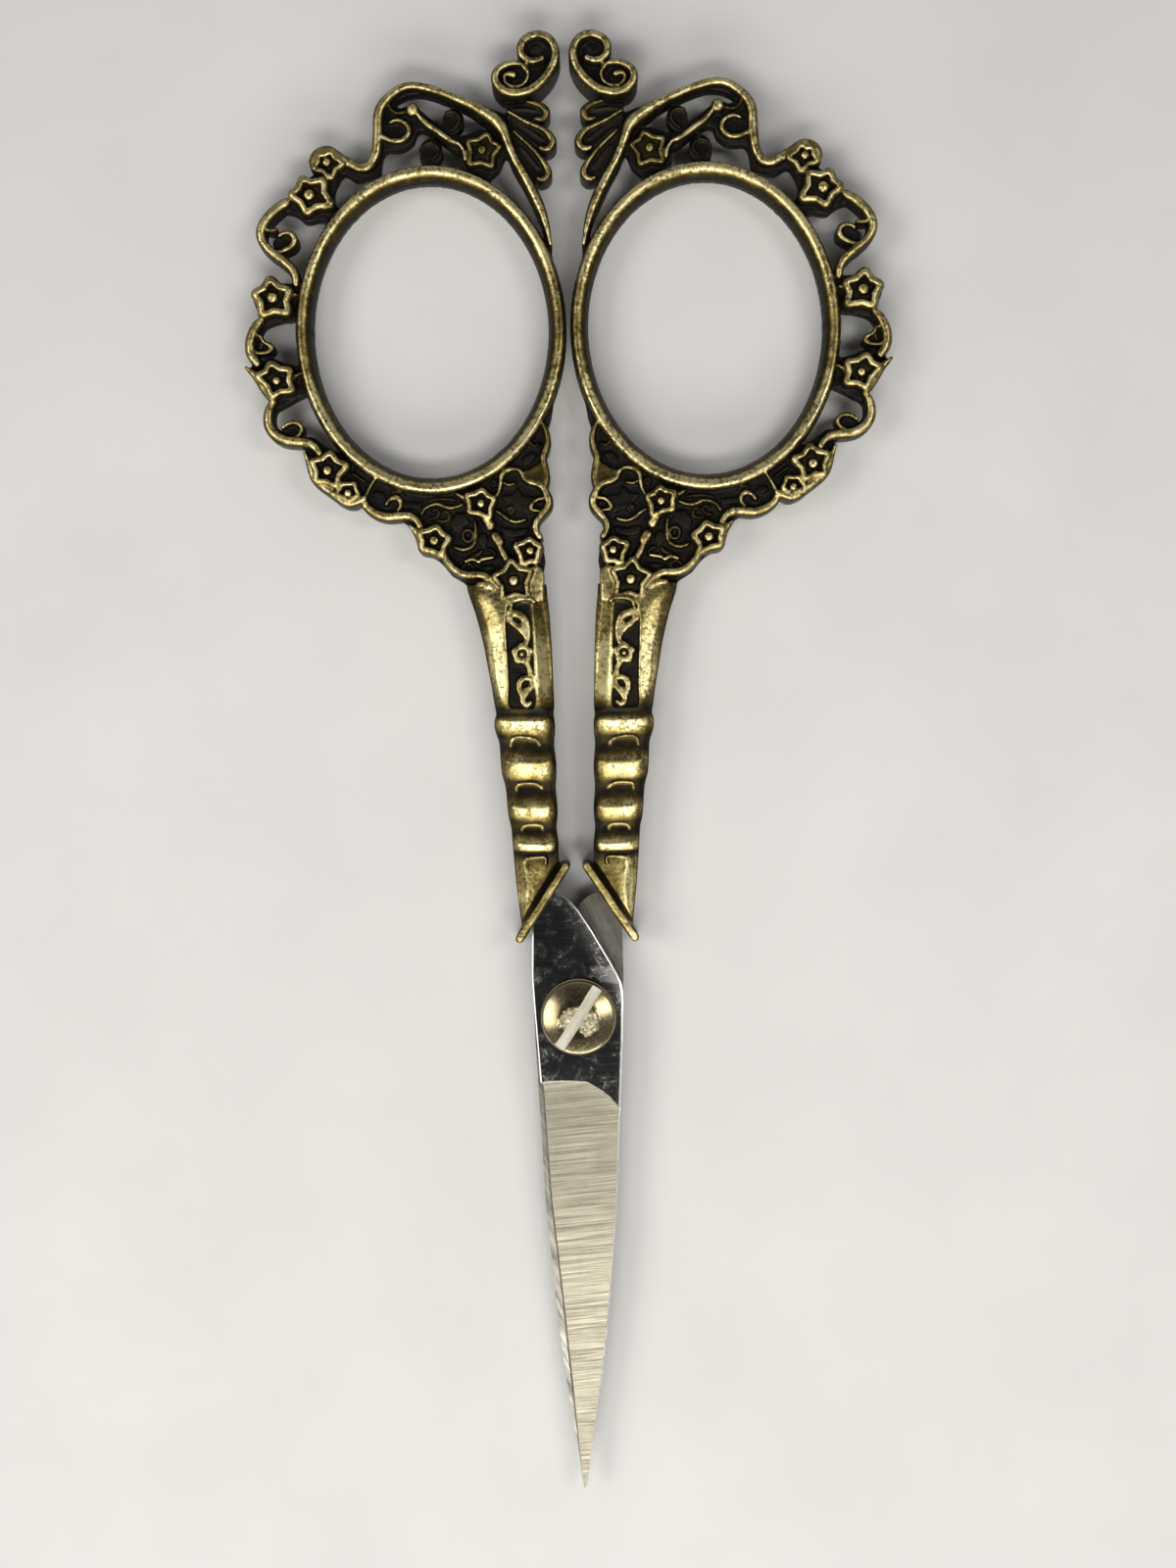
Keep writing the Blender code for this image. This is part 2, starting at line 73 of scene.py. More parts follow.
STEP = 0.075
LAYER = 0.1
xs = np.arange(-28.25, 0.25, STEP)
ys = np.arange(5.6, 85.0, STEP)
SHAPE = (len(xs), len(ys))


def at(u, v):
    """Millimetres from the pivot of a point of the plan drawing."""
    du, dv = u - PIVOT_U, v - PIVOT_V
    return ((du - LEAN * dv) * GRID, (-dv - LEAN * du) * GRID)


def centre_u(v):
    return PIVOT_U + LEAN * (v - PIVOT_V)


grid_x, grid_y = xs[:, None] / GRID, ys[None, :] / GRID
V = PIVOT_V - (grid_y + LEAN * grid_x) / (1 + LEAN**2)
U = PIVOT_U + grid_x + LEAN * (V - PIVOT_V)

H = np.full(SHAPE, -1.0)  # half thickness
S = np.full(SHAPE, 1.2)  # distance to the outline, negative inside
G = np.zeros(SHAPE)  # how far the patina is rubbed off, with painted light and shade mixed in


def smooth(x):
    x = np.clip(x, 0.0, 1.0)
    return x * x * (3 - 2 * x)


def flow(points, closed=False, gap=0.16):
    """A smooth line through plan points, which may carry further values."""
    p = np.array(points, float)
    p[:, 0], p[:, 1] = at(p[:, 0], p[:, 1])
    n = len(p)
    out = []
    for i in range(n if closed else n - 1):
        p1, p2 = p[i], p[(i + 1) % n]
        p0 = p[i - 1] if closed or i else 2 * p1 - p2
        p3 = p[(i + 2) % n] if closed or i + 2 < n else 2 * p2 - p1
        a = math.hypot(*(p1 - p0)[:2]) + 1e-9
        b = math.hypot(*(p2 - p1)[:2]) + 1e-9
        c = math.hypot(*(p3 - p2)[:2]) + 1e-9
        m1 = (p2 - p0) * b / (a + b)
        m2 = (p3 - p1) * b / (b + c)
        steps = max(1, math.ceil(b / gap))
        t = (np.arange(steps) / steps)[:, None]
        out.append(
            (2 * t**3 - 3 * t**2 + 1) * p1
            + (t**3 - 2 * t**2 + t) * m1
            + (3 * t**2 - 2 * t**3) * p2
            + (t**3 - t**2) * m2
        )
    if not closed:
        out.append(p[-1:])
    return np.vstack(out)


def window(line, pad):
    low, high = line[:, :2].min(0) - pad, line[:, :2].max(0) + pad
    i0, i1 = np.searchsorted(xs, (low[0], high[0]))
    j0, j1 = np.searchsorted(ys, (low[1], high[1]))
    return slice(int(i0), int(i1)), slice(int(j0), int(j1))


def segments(line, reach, closed, win):
    """Each segment's near grid points, the place along it and the distance."""
    wx, wy = xs[win[0]], ys[win[1]]
    following = np.roll(line, -1, 0)
    count = len(line) if closed else len(line) - 1
    for a, b in zip(line[:count], following[:count]):
        i0, i1 = np.searchsorted(wx, (min(a[0], b[0]) - reach, max(a[0], b[0]) + reach))
        j0, j1 = np.searchsorted(wy, (min(a[1], b[1]) - reach, max(a[1], b[1]) + reach))
        if i0 >= i1 or j0 >= j1:
            continue
        dx, dy = b[0] - a[0], b[1] - a[1]
        x, y = wx[i0:i1, None] - a[0], wy[None, j0:j1] - a[1]
        t = np.clip((x * dx + y * dy) / (dx * dx + dy * dy + 1e-12), 0, 1)
        d = np.hypot(x - t * dx, y - t * dy)
        yield (slice(int(i0), int(i1)), slice(int(j0), int(j1))), a, b, t, d


def outline(line, pad=0.9):
    """Window and signed distance of a closed outline, negative inside."""
    win = window(line, pad)
    wx, wy = xs[win[0]], ys[win[1]]
    far = np.full((len(wx), len(wy)), pad)
    for sub, a, b, t, d in segments(line, pad, True, win):
        far[sub] = np.minimum(far[sub], d)
    inside = np.zeros(far.shape, bool)
    for a, b in zip(line, np.roll(line, -1, 0)):
        low, high = (a, b) if a[1] < b[1] else (b, a)
        j0, j1 = np.searchsorted(wy, (low[1], high[1]))
        if j0 < j1:
            cross = low[0] + (wy[j0:j1] - low[1]) * (high[0] - low[0]) / (high[1] - low[1])
            inside[:, j0:j1] ^= wx[:, None] >= cross[None, :]
    return win, np.where(inside, -far, far)


def lay(win, height, gold, edge):
    """Adds a raised form: what is higher than before shows."""
    over = height > H[win]
    G[win] = np.where(over, gold, G[win])
    H[win] = np.where(over, height, H[win])
    if edge is not None:
        S[win] = np.minimum(S[win], edge)


def plate(points, height, gold, grow=0.0, curved=True):
    """A flat web inside an outline."""
    line = flow(points, True) if curved else np.array([at(u, v) for u, v in points])
    win, s = outline(line)
    s = s - grow
    lay(win, np.where(s < 0.02, height, -1.0), gold, s)


def opening(points, grow=0.0, curved=True):
    """Cuts an opening right through."""
    line = flow(points, True) if curved else np.array(points)
    win, s = outline(line)
    s = s - grow
    S[win] = np.maximum(S[win], -s)
    H[win] = np.where(s < 0, -1.0, H[win])


def rod(points, top, gold=1.0, cap=1.0, closed=False, wear_and_painted_light=0.3, edge=True):
    """A round-topped rail along plan points (u, v, half width, own top)."""
    points = [tuple(p) + (top,) if len(p) == 3 else tuple(p) for p in points]
    line = flow(points, closed)
    line[:, 2] = (line[:, 2] + 0.35 * np.maximum(0.0, 2.4 - line[:, 2])) * GRID
    reach = line[:, 2].max() + 0.3
    win = window(line, reach)
    shape = (len(xs[win[0]]), len(ys[win[1]]))
    excess, share = np.full(shape, 9.0), np.full(shape, 2.0)
    width, tall = np.ones(shape), np.zeros(shape)
    for sub, a, b, t, d in segments(line, reach, closed, win):
        w = a[2] + t * (b[2] - a[2])
        nearer = d - w < excess[sub]
        excess[sub] = np.where(nearer, d - w, excess[sub])
        share[sub] = np.where(nearer, d / w, share[sub])
        width[sub] = np.where(nearer, w, width[sub])
        tall[sub] = np.where(nearer, a[3] + t * (b[3] - a[3]), tall[sub])
    inside = share < 1
    q = np.clip(share, 0, 1) ** 2
    height = np.where(inside, tall - cap * width * (1 - np.sqrt(1 - q)), -1.0)
    lay(win, height, gold * (1 - (1 - wear_and_painted_light) * q**1.5), excess if edge else None)


def bead(u, v, radius, top, gold=1.0, cap=0.7):
    """A domed bead."""
    x, y = at(u, v)
    r = radius * GRID
    win = window(np.array([[x, y]]), r + 0.2)
    d = np.hypot(xs[win[0], None] - x, ys[None, win[1]] - y)
    q = np.clip(d / r, 0, 1) ** 2
    lay(win, np.where(d < r, top - cap * r * (1 - np.sqrt(1 - q)), -1.0),
        gold * (1 - 0.6 * q**2.5), d - r)


def carve(line, floor, wall, gold, fade=0.12, pad=0.3):
    """Sinks the inside of an outline to a floor, with a rounded upper edge."""
    win, s = outline(line, pad)
    depth = smooth(-s / wall)
    sunk = H[win] + (np.minimum(H[win], floor) - H[win]) * depth
    H[win] = np.where(s < 0, sunk, H[win])
    G[win] = np.where(s < 0, G[win] + (gold - G[win]) * smooth(-s / fade), G[win])
    return win, s


def star(centre, tips, valley):
    """Ten points of a star with given tips."""
    cx, cy = centre
    tips = sorted(tips, key=lambda p: math.atan2(p[1] - cy, p[0] - cx))
    ring = []
    for p, q in zip(tips, tips[1:] + tips[:1]):
        mx, my = (p[0] + q[0]) / 2 - cx, (p[1] + q[1]) / 2 - cy
        ring += [p, (cx + mx * valley / 0.809, cy + my * valley / 0.809)]
    return np.array([at(u, v) for u, v in ring])


def flower(centre, tips, radius, rim, top=1.85, floor=1.0, valley=0.64, gold=1.0, bead_top=1.68):
    """A blossom: rounded rim, star-shaped cavity and a bead."""
    line = star(centre, tips, valley)
    width = rim * GRID
    win, s = outline(line, width + 0.3)
    q = np.clip(s / width, 0, 1) ** 2
    height = np.where(s < width, top - 1.0 * width * (1 - np.sqrt(1 - q**1.6)), -1.0)
    lay(win, height, gold * (1 - 0.45 * q), s - width)
    win, s = carve(line, floor, 0.2, 0.03, fade=0.17)
    x, y = at(*centre)
    far = np.hypot(xs[win[0], None] - x, ys[None, win[1]] - y)
    step = 0.13 * np.exp(-(((s + 0.3) / 0.055) ** 2)) * (far > radius * GRID + 0.08)
    H[win] = np.where(s < -0.16, H[win] + step, H[win])
    G[win] = np.where(s < -0.16, np.maximum(G[win], step * 2.2), G[win])
    bead(*centre, radius, bead_top, gold)


# ---- Relief: webs and openings ---------------------------------------------

OPENWORK = [
    (566, 252), (562, 232), (556, 212), (549, 192), (550, 185),
    (558, 184), (563, 175), (558, 163), (551, 154),
    (563, 153), (568, 143), (562, 131), (548, 124),
    (557, 122), (561, 113), (555, 104), (542, 100),
    (556, 89), (566, 76), (571, 60), (568, 46), (561, 37), (550, 33),
    (538, 36), (530, 45), (527, 58), (527, 64),
    (514, 65), (505, 72), (501, 83), (504, 93), (511, 101), (514, 110),
    (495, 103), (475, 94), (450, 85), (425, 81), (405, 85), (391, 95),
    (383, 108), (380, 125), (380, 148), (378, 160), (371, 167), (360, 164),
    (350, 155), (340, 149), (328, 149), (318, 155), (315, 165), (316, 174),
    (309, 179), (302, 185), (298, 193), (288, 201), (276, 210), (266, 222),
    (261, 236), (263, 248), (272, 259), (284, 268), (293, 276), (296, 284),
    (286, 284), (276, 281), (268, 289), (257, 297), (254, 307), (259, 320),
    (259, 331), (252, 344), (250, 358), (254, 369), (248, 375), (254, 385),
    (263, 397), (270, 409), (267, 422), (268, 437), (276, 449), (290, 456),
    (303, 457), (308, 462), (310, 475), (314, 490), (325, 499), (340, 510),
    (354, 518), (368, 519), (378, 527), (392, 534), (408, 534), (417, 540),
    (422, 552), (428, 564), (440, 570), (449, 578), (458, 589), (470, 596),
    (482, 606), (520, 625), (552, 606), (557, 588), (560, 572), (557, 552),
    (551, 545), (556, 531), (567, 518), (566, 505), (560, 490), (559, 468),
    (560, 446), (566, 425), (571, 390), (571, 336), (571, 290),
]
FLOOR = 0.72
plate(OPENWORK, FLOOR, 0.0, grow=-0.3, curved=False)

ring_x, ring_y = at(439.3, 336.0)
RING_A, RING_B = 11.63 - 0.77, 14.18 - 0.77
ring_line = np.array([
    (ring_x + RING_A * math.cos(a), ring_y + RING_B * math.sin(a))
    for a in np.linspace(0, 2 * math.pi, 240, endpoint=False)
])
opening(ring_line, curved=False)

for hole in (
    [(402, 104), (415, 96), (432, 95), (455, 102), (480, 114),
     (499, 124), (504, 131), (490, 130), (476, 135), (467, 136), (455, 129),
     (438, 118), (428, 110), (418, 105), (408, 108)],
    [(393, 152), (408, 151), (421, 143), (426, 132), (434, 132), (446, 140),
     (460, 150), (469, 155), (468, 164), (474, 173), (470, 181), (438, 176),
     (405, 181), (390, 187), (388, 170)],
    [(516, 157), (524, 173), (535, 192), (547, 215), (554, 236), (553, 256),
     (530, 223), (510, 203), (494, 191), (501, 179), (510, 170)],
    [(350, 176), (364, 182), (382, 179), (384, 191), (365, 204), (352, 215),
     (342, 207), (340, 196), (343, 185)],
    [(289, 215), (300, 217), (312, 225), (328, 223), (337, 236), (325, 260),
     (316, 284), (307, 284), (303, 273), (294, 263), (284, 256), (274, 247),
     (270, 236), (277, 224)],
    [(264, 342), (271, 332), (285, 327), (300, 325), (309, 331), (309, 362),
     (303, 371), (290, 369), (276, 364), (266, 366), (261, 360), (260, 350)],
    [(281, 419), (292, 412), (305, 405), (316, 402), (324, 415), (338, 440),
     (352, 456), (345, 460), (334, 456), (327, 451), (318, 445), (300, 444),
     (288, 440), (280, 431)],
):
    opening(hole)

# Webs inside the small curls of the lobes.
plate([(283, 240), (292, 239), (297, 245), (292, 252), (283, 254), (277, 247)], 0.7, 0.0)
plate([(260, 344), (268, 345), (274, 352), (268, 358), (260, 357)], 0.7, 0.0)
plate([(287, 437), (298, 433), (305, 438), (300, 446), (289, 444)], 0.7, 0.0)
# Small round fields beside the crest's stem.
plate([(452, 116), (459, 109), (469, 111), (473, 120), (470, 130), (461, 136), (452, 130)], FLOOR, 0.0)
plate([(428, 150), (432, 142), (441, 139), (449, 145), (451, 155), (447, 165), (430, 165)], FLOOR, 0.0)
# Faint raised fields on the dark ground.
for field in (
    [(528, 497), (533, 505), (545, 507), (538, 514), (541, 525), (528, 520), (517, 525),
     (519, 514), (511, 506), (523, 504)],
    [(511, 538), (524, 540), (540, 539), (535, 546), (522, 548), (513, 546)],
    [(534, 467), (541, 461), (547, 464), (541, 473), (533, 475)],
    [(459, 534), (466, 523), (474, 524), (480, 533), (470, 538), (461, 540)],
    [(489, 545), (495, 543), (498, 552), (494, 558), (488, 555)],
    [(382, 501), (389, 501), (393, 506), (386, 509), (381, 506)],
    [(411, 512), (430, 513), (429, 519), (412, 518)],
    [(488, 578), (502, 576), (505, 580), (494, 583), (488, 582)],
):
    plate(field, 0.95, 0.1, curved=False)
plate([(533, 481), (540, 478.5), (548, 474), (556, 468.5), (559, 480), (558.5, 494),
       (552, 492), (545, 490.5), (537, 489)], 1.38, 0.5, curved=False)

# ---- Relief: fan leaves, crest and finial ----------------------------------

plate([(516, 106), (538, 102), (552, 105), (558, 113), (555, 120), (547, 123),
       (560, 132), (565, 143), (561, 151), (550, 153), (557, 164), (560, 175),
       (556, 182), (549, 184), (546, 190), (536, 172), (526, 152), (518, 132)],
      1.0, 0.06, curved=False)
for ridge in (
    [(522, 111.5, 1.0), (535, 110.5, 1.5), (547, 112, 1.0)],
    [(529, 125.5, 1.0), (541, 132.5, 1.6), (552.5, 141, 1.1)],
    [(527, 131, 0.8), (538, 140, 1.2), (548, 148, 0.8)],
    [(532, 150, 1.0), (541, 160, 1.5), (549.5, 171, 1.0)],
):
    rod(ridge, 1.17, 0.22)
rod([(538, 103.5, 2.0), (546, 105.3, 2.7), (553, 108.3, 3.7), (557.2, 113.5, 4.1),
     (556, 119, 3.7), (551, 121.3, 2.9), (546.5, 120.8, 2.0)], 1.42, 0.75)
rod([(518.5, 114.2, 1.2), (526, 118.3, 1.6), (535, 123.6, 1.9), (545, 127.8, 2.2),
     (554, 131.8, 2.8), (560.7, 137.8, 3.8), (563.7, 144.6, 4.2), (561, 150.5, 3.7),
     (555.5, 152.2, 2.9), (551, 150.8, 2.0)], 1.5, 0.9)
rod([(524, 134, 1.2), (533, 142.3, 1.6), (542.5, 151, 1.9), (550.5, 160.3, 2.5),
     (556.7, 169, 3.4), (559.5, 176, 3.8), (557, 181.5, 3.3), (552, 183.3, 2.5),
     (548.5, 182, 1.8)], 1.5, 0.9)

rod([(455, 113.5, 1.5), (461, 112.5, 1.7), (467, 116, 1.8), (468.5, 122, 1.8),
     (465, 128, 1.6), (460, 132, 1.4)], 1.05, 0.35)
rod([(431, 159, 1.4), (429, 152.5, 1.5), (432.5, 146.5, 1.5), (439, 144.5, 1.6),
     (445.5, 148, 1.6), (446.5, 155, 1.5), (442, 160, 1.3)], 1.0, 0.3)
rod([(439, 144.5, 1.5), (441, 138, 1.5)], 1.0, 0.2)
rod([(395.5, 103.5, 1.6), (398.5, 110.5, 1.7), (404.5, 114.3, 1.7), (412, 113.3, 2.0)], 1.15, 0.5)
rod([(386, 138.5, 2.2), (391, 139.5, 2.7), (398, 142.8, 3.0), (406, 143.6, 3.1),
     (413.5, 140.4, 3.1), (417.3, 134, 3.1), (415.5, 127.5, 2.8), (409.5, 123.2, 2.4),
     (403, 122.2, 2.0), (397.8, 124.6, 1.4)], 1.35, 0.95)
bead(420.5, 111.8, 7.0, 1.5, 0.95)
rod([(425, 115, 2.2), (430, 121.3, 3.0), (436, 126.8, 3.6), (444, 132.3, 3.3),
     (453, 138.6, 3.4), (461, 143.8, 3.1), (467.5, 146.5, 2.4), (471.5, 151, 2.0),
     (474.5, 156.5, 3.2), (474.2, 163, 1.6)], 1.42, 1.0)

CREST = [
    (351, 163, 5.0, 1.45), (358, 167, 5.0, 1.45), (365, 170.3, 5.0, 1.45),
    (372, 170.8, 5.0, 1.45), (378, 167.5, 5.0, 1.45), (382, 160, 5.0, 1.45),
    (384.5, 150, 5.2, 1.47), (385.5, 135, 5.4, 1.5), (385.7, 120, 5.4, 1.5),
    (388, 110, 5.2, 1.5), (393, 102.5, 4.8, 1.5), (400, 96, 4.5, 1.5),
    (409, 89.8, 4.2, 1.5), (421, 87.4, 4.0, 1.5), (436, 90, 4.2, 1.52),
    (450, 94.3, 4.3, 1.55), (465, 100.3, 4.6, 1.58), (480, 107, 5.2, 1.65),
    (492, 113.6, 6.2, 1.72), (502, 120, 7.0, 1.78), (508.5, 126, 7.2, 1.8),
    (513.7, 134, 6.0, 1.78), (517.3, 144, 5.0, 1.72), (521, 153, 4.6, 1.68),
    (526, 164, 4.7, 1.64), (532.5, 175, 5.0, 1.62), (539, 186.5, 5.3, 1.6),
    (545.3, 199, 5.5, 1.58), (550.8, 211, 5.1, 1.56), (555.2, 223, 4.2, 1.52),
    (558.8, 236, 3.0, 1.48), (561.5, 249, 1.6, 1.4),
]
rod(CREST, 1.5, 1.0, cap=0.95)

plate([(556, 84), (564, 72), (567, 58), (564, 45), (555, 38), (544, 38), (534, 45),
       (531, 57), (533, 65), (518, 68), (508, 74), (505, 84), (510, 94), (524, 99),
       (540, 96)], 1.12, 0.02, curved=True)
bead(545, 48.5, 7.5, 1.28, 0.12, cap=0.3)
rod([(536.5, 67, 1.7), (538.4, 73, 1.7), (538.6, 80, 1.8), (535, 86.3, 1.9),
     (528.5, 89.6, 2.0), (521.5, 89.2, 2.0), (516, 85.3, 2.1), (514.3, 79.6, 2.2),
     (517.8, 76.6, 2.8), (524, 77.6, 3.7)], 1.82, 0.9)
rod([(553, 61.8, 3.4), (545.5, 64.2, 3.8), (538, 63, 4.1), (532.6, 57.5, 4.2),
     (531.7, 50, 4.3), (535.5, 42.8, 4.3), (543, 38.4, 4.2), (551.5, 37.8, 4.2),
     (559.5, 41, 4.4), (564.7, 48.5, 4.5), (566.5, 57.5, 4.6), (564.5, 67, 4.7),
     (559.5, 76.5, 4.8), (552.6, 84.8, 4.9), (544.3, 91.4, 4.9), (535, 95.6, 4.9),
     (525, 97, 4.9), (515.7, 94.8, 4.8), (508.8, 89.4, 4.6), (505.6, 82, 4.4),
     (507.2, 75.2, 4.0), (512.6, 70.2, 3.6), (519.5, 67.4, 3.1), (527, 66.6, 2.8),
     (533, 68.8, 2.4), (536, 73, 1.9)], 2.1, 1.0, cap=0.95)

# ---- Relief: lobes down the outer side -------------------------------------

rod([(319.5, 172.5, 2.6, 1.5), (320, 163.5, 4.6, 1.6), (325.5, 156.3, 5.2, 1.65),
     (335, 153.5, 4.6, 1.6), (344, 158.5, 4.6, 1.5), (351, 163.5, 4.8, 1.45)], 1.6, 0.8)
rod([(291.5, 206.5, 5.0), (282.5, 212.3, 5.1), (271.7, 223, 5.1), (265.8, 235.5, 4.9),
     (268.3, 247.3, 4.8), (277.8, 257.4, 4.8), (288.8, 265.4, 4.8), (297.8, 274.3, 4.8),
     (301.3, 282, 4.5), (302, 289, 4.0)], 1.45, 0.95)
rod([(270, 233.3, 1.7), (275.5, 234.2, 1.9), (281.5, 233.8, 1.5)], 1.25, 0.75)
rod([(284.5, 240.5, 1.2), (288.3, 237.6, 1.9), (294, 236.8, 2.6), (299.3, 240.6, 3.1),
     (300, 246.4, 3.2), (295.3, 251.8, 2.8), (288.3, 255.2, 2.2), (282, 256.8, 1.6)], 1.3, 0.95)
rod([(266.5, 326.5, 4.0), (260.3, 334, 4.8), (256, 344, 5.2), (254.9, 354, 5.4),
     (257, 363, 5.2), (262, 370.5, 4.8)], 1.45, 0.9)
rod([(258.3, 344.5, 1.6), (261.5, 341.6, 1.7), (265.3, 343, 1.7), (267.3, 347, 1.8),
     (270.5, 349.8, 2.2), (275, 351.8, 2.8), (276.6, 354.6, 3.0), (274.3, 357.6, 2.6),
     (269.5, 359.3, 2.0), (263.5, 359.6, 1.7), (258, 358, 1.8)], 1.25, 0.9)
rod([(264, 354.5, 1.2), (266.5, 352, 1.3), (264.5, 349.5, 1.2)], 1.0, 0.4)
rod([(279.5, 409.5, 3.6), (275.6, 415.5, 4.2), (273.5, 424, 5.0), (274.3, 434, 5.3),
     (280, 443, 5.5), (290, 448.6, 5.4), (302, 450.3, 5.0), (313, 451.6, 4.8),
     (321, 456, 4.6), (325.5, 462, 4.2)], 1.45, 0.95)
rod([(288, 436.3, 1.3), (292.5, 432.7, 1.9), (299, 430.6, 2.4), (305, 432.6, 2.6),
     (307.6, 437.2, 2.5), (305.5, 442.4, 2.2), (300, 446.2, 1.9)], 1.28, 0.9)
rod([(295, 307, 1.7), (298, 303, 1.7), (302, 300.3, 1.6)], 1.4, 0.8)
rod([(305.5, 381, 1.5), (301, 384.5, 1.7), (299, 390, 1.6)], 1.4, 0.8)
rod([(251.5, 375.5, 1.4), (258, 380.5, 3.2), (265, 389.5, 4.2), (272.5, 400.5, 4.6),
     (278, 407, 4.0)], 1.62, 0.95)
rod([(311.3, 462.5, 1.3), (314.6, 470.5, 2.8), (317.8, 480, 3.8), (322, 490, 4.2),
     (332, 498.3, 4.2), (341, 505, 4.0), (349, 511.3, 3.8), (358, 514.2, 3.6),
     (366, 511.6, 3.4), (372, 508.5, 3.2)], 1.62, 1.0)
rod([(340.5, 490.5, 2.0), (343.5, 486, 2.5), (348, 486.3, 1.8)], 1.55, 0.9)
rod([(358.5, 482.6, 1.0), (365.5, 486.8, 1.3), (372, 491.5, 1.0)], 1.12, 0.4)
rod([(383.6, 487.5, 1.7), (379.5, 493.5, 1.9), (376, 500, 2.0), (373, 506.5, 2.6)], 1.4, 0.85)
rod([(370.5, 509, 3.6), (374, 517, 4.2), (383, 523.6, 4.6), (395, 527.2, 4.8),
     (407, 526.4, 4.6), (417, 526.2, 4.5), (424.3, 530.3, 4.3), (428.5, 536.5, 4.2)], 1.45, 0.95)
rod([(393.8, 514.5, 1.6), (397.4, 509.7, 2.4), (403, 507.2, 3.0), (407.8, 510.2, 3.0),
     (408.8, 516, 2.4), (405.5, 520.5, 1.6)], 1.3, 0.9)
rod([(400, 501.5, 1.1), (406, 501.2, 1.4), (411.5, 504.5, 1.1)], 1.05, 0.3)

# ---- Relief: ornament below the ring ---------------------------------------

rod([(437, 511, 1.2), (445, 509, 1.4), (455, 508.6, 1.4), (464, 510, 1.2)], 1.05, 0.35)
rod([(430, 524.5, 1.4), (434, 518.7, 1.7), (440, 515.2, 1.8), (447, 514.2, 1.9),
     (453, 516.6, 1.9), (459, 518.1, 1.8), (466, 517.1, 1.7), (472, 514.5, 1.5)], 1.32, 0.8)
rod([(441, 521, 1.0), (445.5, 519.5, 1.3), (448, 523.5, 1.3), (444.5, 527.5, 1.3),
     (439.5, 529, 1.1)], 1.08, 0.4)
rod([(452, 521.5, 1.1), (457.5, 523, 1.3), (458, 529, 1.3), (452.5, 532, 1.3),
     (447, 531, 1.1)], 1.08, 0.45)
rod([(484.3, 531.5, 1.5), (485.3, 540, 1.7), (485.4, 549, 1.8), (483.4, 555.4, 1.8),
     (478, 559.4, 1.9), (471, 560.6, 1.9), (463.5, 558, 1.5)], 1.28, 0.75)
rod([(482.5, 546.5, 1.5), (480.3, 551.3, 1.5), (475.6, 552, 1.5), (472.4, 548, 1.5),
     (473, 542.6, 1.5), (477.3, 540.2, 1.5), (481.3, 542.2, 1.5)], 1.2, 0.5, closed=True)
rod([(481.5, 567, 2.0), (488, 565.4, 2.8), (491.5, 561.5, 1.7)], 1.1, 0.4)
rod([(474.8, 572.8, 1.5), (480, 570.8, 2.1), (485, 571.2, 2.3), (488.5, 573.4, 2.3),
     (491.3, 570.8, 2.3), (497, 569.6, 2.0), (504, 568.6, 1.5)], 1.38, 0.95)
rod([(471, 580, 1.1), (474.5, 575.8, 1.3), (480.5, 576.2, 1.4), (483, 579.8, 1.3),
     (478, 583.2, 1.1)], 1.08, 0.35)
rod([(497, 560, 1.0), (502, 561.5, 1.6), (505, 565, 1.2)], 1.05, 0.25)
rod([(465.5, 504.3, 1.3), (471.5, 507.2, 2.4), (477, 512, 3.0)], 1.55, 0.95)
rod([(491.5, 526, 3.0), (496.5, 531.5, 4.2), (500, 536, 6.0)], 1.65, 1.0)
rod([(505.3, 547.3, 5.4), (509, 553, 5.8)], 1.58, 0.95, cap=0.7)
rod([(509.5, 557, 3.0), (513, 564, 3.9), (517, 571, 3.9), (520, 576, 3.6)], 1.55, 0.9)
rod([(506.3, 507, 1.7), (509.4, 500.5, 2.2), (511, 493, 2.4), (511.5, 486.5, 2.8),
     (515.5, 481, 2.8), (522.5, 478.6, 2.6), (529, 479.4, 2.3), (532.6, 483.2, 2.6),
     (535.3, 488.5, 3.2), (541.2, 492, 3.4), (548, 493.6, 3.5), (553.5, 497.2, 3.8),
     (557.5, 504, 4.2), (560, 511.4, 4.4), (558.4, 518, 4.2), (553.3, 524.3, 3.9),
     (548.5, 530.3, 3.6), (546, 536.3, 3.6), (547, 542.5, 3.6), (550.5, 548, 3.6)], 1.52, 0.95)
rod([(514.3, 492.3, 1.2), (519, 494.6, 1.7), (524.6, 493.3, 1.6)], 1.3, 0.8)
rod([(556.5, 508.3, 1.7), (549.5, 508.9, 2.0), (544.4, 512.5, 2.3), (541.6, 517.5, 2.8),
     (544, 520.6, 2.1), (549.5, 521, 1.3)], 1.4, 0.9)
rod([(506.3, 521.3, 1.2), (512, 524.8, 1.6), (518, 529.6, 1.8), (524.5, 532.2, 1.9),
     (531, 531.7, 1.8), (536, 530.2, 1.2)], 1.34, 0.85)
rod([(517.5, 518.5, 0.9), (522, 516.8, 1.2), (524.5, 520.5, 1.2), (521.5, 524, 1.0)], 1.12, 0.3)
rod([(503.5, 489.5, 1.1), (506.5, 492.5, 1.2), (504, 495.8, 1.1), (500.8, 493, 1.1)],
    1.05, 0.25, closed=True)
rod([(544.5, 444.5, 1.1), (540.8, 449.5, 1.5), (544.6, 454.5, 1.6), (550, 452.5, 1.2)], 1.08, 0.35)
rod([(553.5, 431, 1.6), (557.3, 440, 2.8), (558.7, 449, 3.4), (556.9, 458, 3.6),
     (554, 466, 3.6), (556, 475, 3.4), (557.8, 486, 3.4), (556, 496, 3.4)], 1.45, 0.75)
